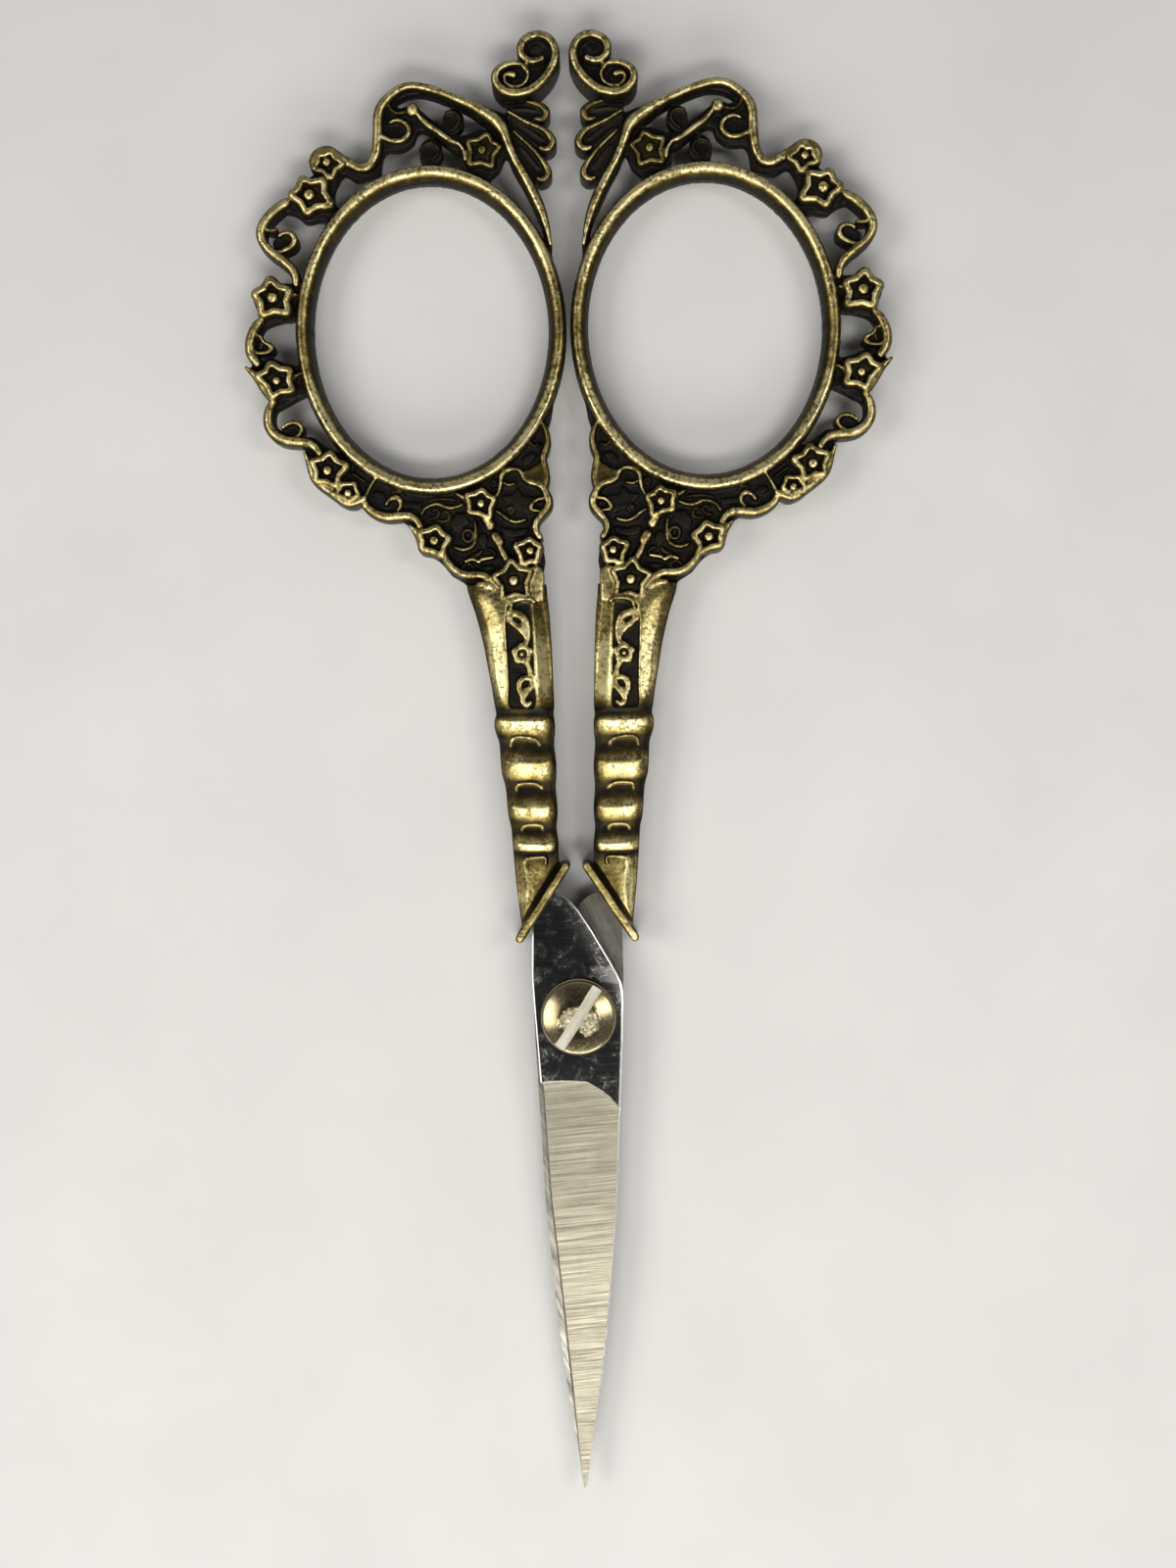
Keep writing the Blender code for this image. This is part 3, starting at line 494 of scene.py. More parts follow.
rod([(453, 564.5, 4.0), (456.5, 573, 4.1), (462, 579.5, 4.3), (470, 585, 4.4),
     (480, 587, 4.4), (489, 586.6, 4.4), (496, 589, 4.8), (501.5, 594, 5.4),
     (505.5, 601, 5.2), (508, 609, 4.4), (511, 616, 3.6)], 1.72, 0.95)
rod([(488.8, 596.6, 3.7), (494, 597, 4.0), (500, 598, 4.2), (505, 602, 4.2)], 1.8, 1.0)
rod([(418.5, 537, 1.4), (423.5, 541.5, 3.2), (428.5, 549, 4.4), (431, 557, 4.8)], 1.62, 1.0)

# ---- Relief: ring and shank ------------------------------------------------

win = window(ring_line, 1.2)
distance = np.full((len(xs[win[0]]), len(ys[win[1]])), 9.0)
for sub, a, b, t, d in segments(ring_line, 1.1, True, win):
    distance[sub] = np.minimum(distance[sub], d)
turn = np.arctan2((ys[None, win[1]] - ring_y) / RING_B, (xs[win[0], None] - ring_x) / RING_A)
outward = np.hypot((xs[win[0], None] - ring_x) / RING_A, (ys[None, win[1]] - ring_y) / RING_B) - 1
# The crest runs a little outward of the bar's middle.
CREST = 0.27
off_crest = np.where(outward < 0, -distance, distance) - CREST
q = np.clip(np.where(off_crest > 0, off_crest / (0.77 - CREST), -off_crest / (0.77 + CREST)), 0, 1)
power = np.where(off_crest > 0, 2.5, 2.2)
ring_height = 1.6 * (1 - q**power) ** (1 / power)
# The ring is darker on its left and right sides, and on its inner side as painted shade.
upright = smooth((np.abs(np.sin(turn)) - 0.12) / 0.42)
inner_shade = smooth((-off_crest - 0.32) / 0.35)
ring_wear_and_shade = (1 - 0.8 * q**3) * (0.78 + 0.36 * upright) * (1 - 0.55 * inner_shade)
lay(win, np.where(distance < 0.77, ring_height, -1.0), ring_wear_and_shade, distance - 0.77)


def table(rows, column):
    """A smooth course of one column over the drawing's rows."""
    p = np.array(rows, float)
    dense = np.linspace(p[0, 0], p[-1, 0], 900)
    i = np.clip(np.searchsorted(p[:, 0], dense, "right") - 1, 0, len(p) - 2)
    slope = np.gradient(p[:, column], p[:, 0])
    x0, x1 = p[i, 0], p[i + 1, 0]
    h = x1 - x0
    t = (dense - x0) / h
    y = (
        (2 * t**3 - 3 * t**2 + 1) * p[i, column] + (t**3 - 2 * t**2 + t) * h * slope[i]
        + (3 * t**2 - 2 * t**3) * p[i + 1, column] + (t**3 - t**2) * h * slope[i + 1]
    )
    return dense, y


EDGES = [  # row, outer and inner edge from the centre line
    (596, 108, 26.5), (604, 106.5, 26), (612, 104, 25.2), (622, 100.5, 24.2), (640, 95.5, 23),
    (660, 91, 22), (680, 87.6, 21.4), (700, 84, 21), (722, 80.6, 20.6), (729, 79.4, 21.2),
    (736, 81.4, 20), (746, 80.6, 20), (757, 77, 21), (768, 76, 20.3), (778, 75.6, 19.3),
    (790, 74.4, 19.3), (803, 71, 20.2), (814, 70, 19.5), (822, 69.5, 18.7),
    (833, 68.4, 18.7), (844, 66, 19.8), (853, 65.2, 19), (862, 64.6, 18), (870, 64, 18.2),
    (880, 63.2, 17.5), (900, 61.6, 10), (920, 59.4, 10), (940, 57.2, 10), (962, 55.6, 10),
]
THICK = [
    (594, 1.3), (602, 1.72), (612, 1.95), (624, 2.08), (660, 2.1), (716, 2.1), (722, 1.98),
    (728, 1.72), (731.5, 1.84), (735, 2.1), (740, 2.0), (746, 1.85), (751, 1.70), (757, 1.64),
    (765, 1.72), (773, 1.92), (777.5, 2.1), (783.5, 2.0), (790, 1.85), (796, 1.70), (803, 1.64),
    (811, 1.74), (819, 1.93), (823.5, 2.1), (829, 1.99), (835, 1.84), (839, 1.71), (844, 1.66),
    (851, 1.79), (858, 1.97), (861.5, 2.1), (865, 2.02), (868.5, 1.92), (871, 1.72), (874, 1.9), (882, 2.04), (900, 2.06), (965, 2.06),
]
# How light the bronze is along the shank's rows: high on the band tops, low in the grooves between them.
ROW_LIGHTNESS = [
    (594, 0.75), (606, 0.84), (630, 0.9), (714, 0.9), (720, 0.6), (726, 0.2), (731, 0.55),
    (734, 0.9), (745, 0.9), (748, 0.75), (750.5, 0.45), (757, 0.38), (762, 0.2), (767, 0.35),
    (772, 0.8), (777, 0.87), (791, 0.87), (794, 0.75), (796.5, 0.45), (803, 0.38), (808, 0.2),
    (813, 0.35), (818, 0.8), (822, 0.91), (832, 0.91), (835, 0.75), (837.5, 0.45), (844, 0.36),
    (848, 0.2), (852, 0.4), (856, 0.85), (860, 1.0), (867, 0.97), (870.5, 0.1), (874, 0.5), (880, 0.75),
    (900, 0.9), (965, 0.9),
]
LIP_TOP, LIP_LOW = (578.0, 882.5), (529.8, 959.0)
lip_u = LIP_TOP[0] + (V - LIP_TOP[1]) * (LIP_LOW[0] - LIP_TOP[0]) / (LIP_LOW[1] - LIP_TOP[1])
outer = centre_u(V) - np.interp(V, *table(EDGES, 1))
inner = centre_u(V) - np.interp(V, *table(EDGES, 2))
inner = np.where(V > 868, np.minimum(inner, lip_u), inner)
middle, half = (outer + inner) / 2, np.maximum((inner - outer) / 2, 0.2)
across = (U - middle) / half
t = np.clip(np.abs(across), 0, 1)
power = np.interp(V, [600, 722, 736, 866, 874, 930], [2.9, 2.9, 4.6, 4.6, 2.6, 2.3])
thick = np.interp(V, *table(THICK, 1))
body = thick * (1 - t**power) ** (1 / power)
edge = (np.abs(across) - 1) * half * GRID
edge = np.maximum(edge, (596 - V) * GRID)
edge = np.maximum(edge, (V - 957) * GRID)
# The shank is darker towards both edges, and above the bands on its outer side; its inner facet there is a
# little darker as painted shade.
wear_and_painted_light = np.interp(V, *table(ROW_LIGHTNESS, 1)) * (1 - 0.5 * t**5)
wear_and_painted_light = wear_and_painted_light * (1 - 0.28 * smooth((-across - 0.70) / 0.3) * smooth((724 - V) / 8))
wear_and_painted_light = wear_and_painted_light * (1 - 0.12 * smooth((across - 0.50) / 0.1) * smooth((724 - V) / 8))
# Facets beside the panel, the outer one broad and the inner one steeper.
beyond = np.maximum(0.0, -across - 0.30) * half * GRID * 0.27
beyond = beyond + np.maximum(0.0, across - 0.26) * half * GRID * 0.42
beyond = beyond + np.maximum(0.0, across - 0.56) * half * GRID * 0.34
body = np.where(V < 724, np.minimum(body, 2.12 - beyond), body)
# The wedge's two facets meet in a ridge.
ridge_u = 533.2 + (V - 876) * 0.2
fall = np.where(U < ridge_u, 0.28 * (ridge_u - U), 0.26 * (U - ridge_u)) * GRID
body = np.where(V > 872, np.minimum(body, 2.10 - fall), body)
# Groove between the wedge and the lip.
LIP_TOP, LIP_LOW = (578.0, 882.5), (529.8, 959.0)
lip = np.array(LIP_LOW, float) - LIP_TOP
lip /= math.hypot(*lip)
off_lip = ((V - LIP_TOP[1]) * lip[0] - (U - LIP_TOP[0]) * lip[1]) * GRID
channel = np.exp(-(((off_lip - 0.54) / 0.16) ** 2)) * smooth((V - 878) / 6)
body = np.maximum(body, np.where(V < 724, 1.0, 1.35)) - 0.38 * channel
wear_and_painted_light = wear_and_painted_light * (1 - 0.7 * channel)
# On the wedge the bronze is darker towards the lip and on the inner facet beyond the ridge: painted shade.
slope = smooth((off_lip - 0.4) / 1.6)
wear_and_painted_light = np.where(V > 872, wear_and_painted_light * (0.72 + 0.28 * slope) * (1 - 0.24 * smooth((U - ridge_u - 2) / 5)), wear_and_painted_light)
everywhere = (slice(None), slice(None))
lay(everywhere, np.where(edge < 0, body, -1.0), wear_and_painted_light, edge)
# Slanted bolster lip across the end.
rod([(577.4, 883.6, 4.4), ((LIP_TOP[0] + LIP_LOW[0]) / 2, (LIP_TOP[1] + LIP_LOW[1]) / 2, 4.9),
     (535, 950.6, 4.6), (530.6, 957.6, 4.2)], 2.08, 0.86, cap=0.55, wear_and_painted_light=0.4)
rod([(534.5, 878, 1.2, 2.06), (536.3, 888, 1.3, 2.09), (539, 902, 1.2, 2.07),
     (541, 915, 0.9, 2.0)], 2.08, 1.0, cap=0.8, edge=False)
for crease in (
    [(521.4, 761.5, 0.8, 1.73), (521.8, 757.2, 0.9, 1.75), (524.5, 753.4, 1.0, 1.82),
     (530, 752, 1.1, 1.85), (537, 752.6, 1.1, 1.84), (543, 753.4, 1.1, 1.82),
     (548.4, 756.2, 1.0, 1.78), (550.6, 760.5, 0.8, 1.74)],
    [(527, 807.3, 0.8, 1.73), (527.2, 803.4, 0.9, 1.76), (529.6, 800.2, 1.0, 1.81),
     (536, 799.3, 1.1, 1.83), (543, 799, 1.1, 1.83), (549, 800.8, 1.1, 1.81),
     (553.4, 804.4, 0.9, 1.75)],
    [(532.7, 848, 0.8, 1.74), (533.4, 844.6, 0.9, 1.76), (537, 842, 1.1, 1.79),
     (544, 841.3, 1.1, 1.8), (550, 841.5, 1.1, 1.79), (553.4, 843.8, 0.9, 1.76),
     (553.8, 847.6, 0.8, 1.74)],
    [(536, 880, 0.9, 2.06), (536.2, 876, 1.0, 2.02), (545, 874.8, 1.0, 2.0),
     (556, 874.8, 1.0, 1.99), (557.4, 877, 0.9, 1.98), (556.8, 881.5, 0.8, 1.98)],
):
    rod(crease, 1.8, 1.0, cap=0.8, edge=False)

# Panel with its vine.
panel = flow([(520, 615), (530, 612), (540, 613), (543.5, 630), (545, 660), (546.5, 700),
              (546, 722), (533, 724), (520, 722), (519, 700), (517, 660), (516, 632)], True)
carve(panel, 1.6, 0.16, 0.08)
VINE = 1.97
rod([(521.5, 620.5, 2.0), (523.5, 614.5, 2.4), (530, 611.9, 2.5), (541, 611.6, 2.5),
     (545.3, 615, 2.0)], 2.1, 1.0)
rod([(513, 625.5, 2.6), (519, 625.5, 3.8), (527, 626.8, 4.4), (534, 630.8, 4.5),
     (537.4, 637.5, 4.1), (538.6, 645, 3.6), (538.6, 651, 3.4), (537, 656.5, 3.2),
     (534, 660.5, 3.2)], VINE, 1.0, cap=0.6)
rod([(513.5, 627.5, 2.2), (518.5, 632, 3.3), (525.5, 638.2, 3.6), (532, 643.5, 3.4),
     (537, 650, 3.2)], VINE, 1.0, cap=0.6)
rod([(533, 637.6, 3.2), (536, 645, 3.4)], 1.95, 1.0, cap=0.3)
rod([(519.5, 628.8, 2.6), (521.6, 630.6, 3.0)], 1.95, 1.0, cap=0.3)
x, y = at(533, 667.8)
angle = np.arctan2(ys[None, :] - y, xs[:, None] - x)
spread = np.hypot(ys[None, :] - y, xs[:, None] - x) / GRID
petals = 11.4 + 1.1 * np.cos(5 * angle - 5 * math.radians(90))
q = np.clip((spread - petals + 3.2) / 3.2, 0, 1) ** 2
lay(everywhere, np.where(spread < petals, 1.99 - 0.22 * (1 - np.sqrt(1 - q)), -1.0),
    1 - 0.6 * q, None)
hollow = smooth((5.0 - spread) / 1.2)
H[:] = np.where(spread < 5.0, H - 0.36 * hollow, H)
G[:] = np.where(spread < 5.0, G * (1 - 0.95 * hollow), G)
bead(533, 667.8, 2.7, 1.9, 1.0)
rod([(537.5, 677, 3.6), (540.5, 683, 3.3), (541.5, 689, 3.4), (544, 694, 3.8),
     (542, 701, 4.0), (537.5, 707, 4.0), (534, 712.5, 3.6), (534, 717.3, 3.4),
     (538, 719.4, 3.2), (541.5, 717.3, 2.6)], VINE, 1.0, cap=0.6)
rod([(541, 692.8, 3.0), (535.5, 692.3, 3.4), (530.8, 696, 3.8), (529.8, 702, 3.8),
     (532, 708.5, 3.8)], VINE, 1.0, cap=0.6)
rod([(536.6, 704.2, 2.8), (535.4, 708.5, 3.4)], 1.95, 1.0, cap=0.3)

# ---- Relief: flowers -------------------------------------------------------

plate([(503, 589), (512, 580), (519, 571), (531, 576), (541, 579), (549, 577), (555, 584),
       (555, 614), (512, 617), (505, 601)], 1.72, 0.9, curved=False)
flower((333.5, 166.2), [(322.5, 172), (326.5, 160), (337, 157.5), (348.5, 167.7),
                        (338, 180.5)], 4.8, 5.0, top=1.7)
flower((315.5, 199), [(300.5, 199.8), (310, 186.5), (328.5, 187), (335.5, 208.5),
                      (314, 215)], 6.6, 6.8)
flower((277.8, 304), [(276.2, 289), (293, 298.5), (292, 317.5), (270, 319),
                      (263.5, 301)], 6.4, 7.2)
flower((282.3, 389.1), [(277, 374), (294.5, 380), (296, 397.5), (279, 402.5),
                        (266, 385)], 4.9, 6.4)
flower((334.4, 480.5), [(337, 465), (351.5, 476.5), (342, 494), (324.5, 490),
                        (321, 472.5)], 5.7, 6.0)
flower((355.3, 503.5), [(350.5, 495.5), (361, 495), (364.5, 504.5), (357, 510),
                        (344.5, 504)], 4.3, 4.2, top=1.7, valley=0.74)
flower((442.9, 552), [(445, 540.5), (456, 550.5), (449.5, 564.5), (433, 559),
                      (431, 545.5)], 5.6, 6.4, valley=0.7)
flower((490.6, 514.2), [(492, 502.5), (502.5, 510.5), (498.5, 527), (480.5, 521.5),
                        (478.5, 507.5)], 4.8, 5.4, valley=0.68)
flower((540.8, 562.4), [(540.5, 552.5), (549.5, 559), (546.5, 571.5), (534.5, 574),
                        (528, 558)], 4.7, 5.6, valley=0.7)
flower((524, 593), [(521.5, 574.5), (540, 584.5), (537.5, 608.5), (515, 609.5),
                    (506, 589.3)], 5.9, 5.0, top=2.0, floor=1.1, valley=0.62, bead_top=1.85)
flower((491.7, 153.5), [(497, 138.5), (508.5, 150), (501, 168.5), (480, 166.5),
                        (479, 145.5)], 5.2, 4.6, top=1.6, gold=0.8)

# ---- Relief: finishing -----------------------------------------------------


def blur(field, sigma):
    """Gaussian blur, sigma in millimetres."""
    pad = int(4 * sigma / STEP) + 1
    wide = np.pad(field, pad, mode="edge")
    fx = np.fft.fftfreq(wide.shape[0], STEP)[:, None]
    fy = np.fft.rfftfreq(wide.shape[1], STEP)[None, :]
    gain = np.exp(-2 * (math.pi * sigma) ** 2 * (fx**2 + fy**2))
    out = np.fft.irfft2(np.fft.rfft2(wide) * gain, s=wide.shape)
    return out[pad:-pad, pad:-pad]


solid = S < 0
height = np.where(solid, H, 0.0)
known = solid & (H > 0)
for _ in range(5):
    total, count = np.zeros(SHAPE), np.zeros(SHAPE)
    for dx in (-1, 0, 1):
        for dy in (-1, 0, 1):
            total += np.roll(np.where(known, height, 0.0), (dx, dy), (0, 1))
            count += np.roll(known, (dx, dy), (0, 1))
    grown = ~known & (count > 0)
    height = np.where(grown, total / np.maximum(count, 1), height)
    known |= grown
height = np.where(known, height, 0.5)
weight = blur(known.astype(float), 0.05)
height = np.where(known, blur(np.where(known, height, 0.0), 0.05) / np.maximum(weight, 0.2), height)
uneven = blur(np.random.default_rng(7).normal(size=SHAPE), 0.3)
fine = blur(np.random.default_rng(8).normal(size=SHAPE), 0.11)
height += 0.012 * uneven / uneven.std() + 0.005 * fine / fine.std()
height = np.minimum(height, 2.085)
# How closed in a place is, which deepens the painted shade below the relief's
# top: webs and openings among the ornament are, the outside and the finger opening aren't.
win, s = outline(np.array([at(u, v) for u, v in OPENWORK]), 1.2)
enclosure_for_shade = np.zeros(SHAPE)
enclosure_for_shade[win] = smooth(-s / 1.0)
finger = np.hypot((xs[:, None] - ring_x) / RING_A, (ys[None, :] - ring_y) / RING_B)
enclosure_for_shade *= smooth((finger - 1.0) / 0.06)
enclosure_for_shade = np.where(edge < 0.3, 0.0, enclosure_for_shade)
blurred_wear_and_painted_light = blur(G, 0.04)

# ---- Castings --------------------------------------------------------------


def skin(F, z0):
    """Vertices and quads of the zero surface of a field on the plan grid."""
    inside = F < 0
    nx, ny, nz = F.shape
    total = np.zeros((nx - 1, ny - 1, nz - 1), np.uint8)
    for a in (0, 1):
        for b in (0, 1):
            for c in (0, 1):
                total += inside[a:nx - 1 + a, b:ny - 1 + b, c:nz - 1 + c]
    cells = np.flatnonzero((total > 0) & (total < 8))
    i, j, k = np.unravel_index(cells, total.shape)
    index = np.full(total.shape, -1, np.int32)
    index.ravel()[cells] = np.arange(len(cells), dtype=np.int32)
    place = np.zeros((len(cells), 3))
    count = np.zeros(len(cells))
    for axis in range(3):
        for b in (0, 1):
            for c in (0, 1):
                a0 = np.insert((b, c), axis, 0)
                a1 = np.insert((b, c), axis, 1)
                f0 = F[i + a0[0], j + a0[1], k + a0[2]]
                f1 = F[i + a1[0], j + a1[1], k + a1[2]]
                cross = (f0 < 0) != (f1 < 0)
                t = np.where(cross, f0 / np.where(cross, f0 - f1, 1), 0)
                point = np.repeat(a0[None, :].astype(float), len(cells), 0)
                point[:, axis] += t
                place += point * cross[:, None]
                count += cross
    place /= count[:, None]
    points = np.column_stack([
        xs[0] + (i + place[:, 0]) * STEP,
        ys[0] + (j + place[:, 1]) * STEP,
        z0 + (k + place[:, 2]) * LAYER,
    ])
    quads = []
    for axis in range(3):
        others = [n for n in range(3) if n != axis]
        core = [slice(1, -1)] * 3
        low, high = list(core), list(core)
        low[axis], high[axis] = slice(0, -1), slice(1, None)
        first = inside[tuple(low)]
        change = np.argwhere(first != inside[tuple(high)])
        here = change.copy()
        here[:, others[0]] += 1
        here[:, others[1]] += 1
        corner = []
        for b, c in ((1, 1), (0, 1), (0, 0), (1, 0)):
            cell = here.copy()
            cell[:, others[0]] -= b
            cell[:, others[1]] -= c
            corner.append(index[cell[:, 0], cell[:, 1], cell[:, 2]])
        quad = np.column_stack(corner)
        outward = first[change[:, 0], change[:, 1], change[:, 2]]
        if axis == 1:
            outward = ~outward
        quad = np.where(outward[:, None], quad, quad[:, ::-1])
        quads.append(quad)
    return points, np.vstack(quads)


# No two corners of the plan meet in a single point.
for _ in range(3):
    solid = S < 0
    a, b, c, d = solid[:-1, :-1], solid[1:, 1:], solid[1:, :-1], solid[:-1, 1:]
    S[1:, :-1][a & b & ~c & ~d] = -0.2 * STEP
    S[:-1, :-1][c & d & ~a & ~b] = -0.2 * STEP
zs = np.arange(-2.25, 2.26, LAYER)
# Nor do two slopes of the relief at the height of a layer.
for level in zs[zs > 0]:
    for _ in range(2):
        solid = (height > level) & (S < 0)
        a, b, c, d = solid[:-1, :-1], solid[1:, 1:], solid[1:, :-1], solid[:-1, 1:]
        height[1:, :-1][a & b & ~c & ~d] = level + 0.004
        height[:-1, :-1][c & d & ~a & ~b] = level + 0.004
field = np.maximum(
    np.abs(zs)[None, None, :].astype(np.float32) - height[:, :, None].astype(np.float32),
    S[:, :, None].astype(np.float32),
)
for side in (field[:1], field[-1:], field[:, :1], field[:, -1:]):
    side[:] = 1.0
points, quads = skin(field, float(zs[0]))
del field


def new_object(name, mesh):
    obj = bpy.data.objects.new(name, mesh)
    bpy.context.scene.collection.objects.link(obj)
    return obj


def mesh_from(name, points, faces):
    """A mesh from arrays of points in metres and equal-sided faces."""
    faces = np.ascontiguousarray(faces, np.int32)
    count, sides = faces.shape
    mesh = bpy.data.meshes.new(name)
    mesh.vertices.add(len(points))
    mesh.vertices.foreach_set("co", np.ascontiguousarray(points, np.float32).ravel())
    mesh.loops.add(count * sides)
    mesh.loops.foreach_set("vertex_index", faces.ravel())
    mesh.polygons.add(count)
    mesh.polygons.foreach_set("loop_start", np.arange(0, count * sides, sides, dtype=np.int32))
    mesh.update(calc_edges=True)
    mesh.validate()
    return mesh


def coordinates(mesh):
    co = np.zeros(len(mesh.vertices) * 3, np.float32)
    mesh.vertices.foreach_get("co", co)
    return co.reshape(-1, 3).astype(float)


def applied(obj):
    """The object's mesh with its modifiers carried out."""
    graph = bpy.context.evaluated_depsgraph_get()
    mesh = bpy.data.meshes.new_from_object(obj.evaluated_get(graph))
    obj.modifiers.clear()
    before, obj.data = obj.data, mesh
    bpy.data.meshes.remove(before)
    return obj


world = (points + (0.0, PIVOT_Y, MID_Z)) * 0.001
left = new_object("left_casting", mesh_from("left_casting", world, quads))
FACES = 186000
thin = left.modifiers.new("thin", "DECIMATE")
thin.ratio = min(1.0, FACES / (2 * len(quads)))
applied(left)


def sampled(plan, x, y):
    """Value of a plan field at points in millimetres from the pivot."""
    fx = np.clip((x - xs[0]) / STEP, 0, len(xs) - 1.001)
    fy = np.clip((y - ys[0]) / STEP, 0, len(ys) - 1.001)
    i, j = fx.astype(int), fy.astype(int)
    fx, fy = fx - i, fy - j
    return (
        plan[i, j] * (1 - fx) * (1 - fy) + plan[i + 1, j] * fx * (1 - fy)
        + plan[i, j + 1] * (1 - fx) * fy + plan[i + 1, j + 1] * fx * fy
    )


# Stores the relief's wear, together with the painted light and shade, on the mesh's points.
def set_wear_and_painted_light(mesh, mirror):
    co = coordinates(mesh) * 1000
    x, y = co[:, 0] * (-1 if mirror else 1), co[:, 1] - PIVOT_Y
    z = np.abs(co[:, 2] - MID_Z)
    below = sampled(height, x, y) - z
    shade_enclosure = sampled(enclosure_for_shade, x, y)
    # Below the relief's top the bronze is darker: blackened patina in the hollows, and painted shade on the
    # walls, deeper where the ornament closes in.
    value = sampled(blurred_wear_and_painted_light, x, y) * (1 - smooth((below - 0.12) / 0.55) * (0.55 + 0.4 * shade_enclosure))
    if mirror:
        # The right shank is painted lighter on its inner facet and below the bands: painted light from the
        # side.
        facet = smooth((x + 3.0) / 0.35) * smooth((y - 26.0) / 1.2) * smooth((37.5 - y) / 1.5)
        painted_light_below_bands = smooth((-3.3 - x - 0.05 * (14.0 - y)) / 0.9) * smooth((13.9 - y) / 0.6)
        value *= 1 + 0.14 * facet + 0.24 * painted_light_below_bands
    attribute = mesh.attributes.new("wear_and_painted_light", "FLOAT", "POINT")
    attribute.data.foreach_set("value", np.clip(value, 0, 1.1).astype(np.float32))


right_mesh = left.data.copy()
right_mesh.name = "right_casting"
right_mesh.transform(Matrix.Diagonal((-1, 1, 1, 1)))
right_mesh.flip_normals()
right = new_object("right_casting", right_mesh)
for obj, mirror in ((left, False), (right, True)):
    set_wear_and_painted_light(obj.data, mirror)
    obj.data.polygons.foreach_set("use_smooth", np.ones(len(obj.data.polygons), bool))

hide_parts("left_handle")
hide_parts("right_handle")
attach(left, "front_half")
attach(right, "rear_half")

# ---- Materials -------------------------------------------------------------


class Nodes:
    """Short calls for building one material's node tree."""

    def __init__(self, name):
        self.material = bpy.data.materials.new(name)
        self.material.use_nodes = True
        self.tree = self.material.node_tree
        self.tree.nodes.clear()
        self.output = self.add("ShaderNodeOutputMaterial")
        self.shader = self.add("ShaderNodeBsdfPrincipled")
        self.link(self.shader.outputs[0], self.output.inputs["Surface"])
        self.place = self.add("ShaderNodeTexCoord").outputs["Object"]

    def add(self, kind, **settings):
        node = self.tree.nodes.new(kind)
        for key, value in settings.items():
            setattr(node, key, value)
        return node

    def link(self, a, b):
        self.tree.links.new(a, b)

    def put(self, socket, value):
        if isinstance(value, bpy.types.NodeSocket):
            self.link(value, socket)
        else:
            socket.default_value = value

    def noise(self, scale, detail=3.0, roughness=0.55, stretch=None, turn=None, distortion=0.0):
        node = self.add("ShaderNodeTexNoise")
        node.inputs["Scale"].default_value = scale
        node.inputs["Detail"].default_value = detail
        node.inputs["Roughness"].default_value = roughness
        node.inputs["Distortion"].default_value = distortion
        vector = self.place
        if stretch:
            mapping = self.add("ShaderNodeMapping")
            mapping.inputs["Scale"].default_value = stretch
            if turn is not None:
                mapping.inputs["Rotation"].default_value = (0, 0, turn)
                mapping.vector_type = "TEXTURE"
                mapping.inputs["Scale"].default_value = tuple(1 / s for s in stretch)
            self.link(vector, mapping.inputs["Vector"])
            vector = mapping.outputs[0]
        self.link(vector, node.inputs["Vector"])
        return node.outputs["Fac"]

    def math(self, operation, a, b=None, clamp=False):
        node = self.add("ShaderNodeMath", operation=operation, use_clamp=clamp)
        self.put(node.inputs[0], a)
        if b is not None:
            self.put(node.inputs[1], b)
        return node.outputs[0]

    def span(self, value, low, high, to_low=0.0, to_high=1.0, soft=False):
        node = self.add("ShaderNodeMapRange", clamp=True)
        node.interpolation_type = "SMOOTHSTEP" if soft else "LINEAR"
        for socket, v in zip(node.inputs, (value, low, high, to_low, to_high)):
            self.put(socket, v)
        return node.outputs[0]

    def ramp(self, value, stops):
        node = self.add("ShaderNodeValToRGB")
        elements = node.color_ramp.elements
        while len(elements) < len(stops):
            elements.new(0.5)
        for element, (position, colour) in zip(elements, stops):
            element.position = position
            element.color = (*colour, 1.0)
        self.link(value, node.inputs[0])
        return node.outputs[0]

    def mix(self, factor, a, b, blend="MIX"):
        node = self.add("ShaderNodeMix", data_type="RGBA", blend_type=blend)
        self.put(node.inputs[0], factor)
        for socket, value in ((node.inputs[6], a), (node.inputs[7], b)):
            self.put(socket, value if isinstance(value, bpy.types.NodeSocket) else (*value, 1.0))
        return node.outputs[2]

    def bump(self, height, strength, distance, normal=None):
        node = self.add("ShaderNodeBump")
        node.inputs["Strength"].default_value = strength
        node.inputs["Distance"].default_value = distance
        self.link(height, node.inputs["Height"])
        if normal is not None:
            self.link(normal, node.inputs["Normal"])
        return node.outputs[0]

    def set(self, **inputs):
        for key, value in inputs.items():
            self.put(self.shader.inputs[key.replace("_", " ")], value)


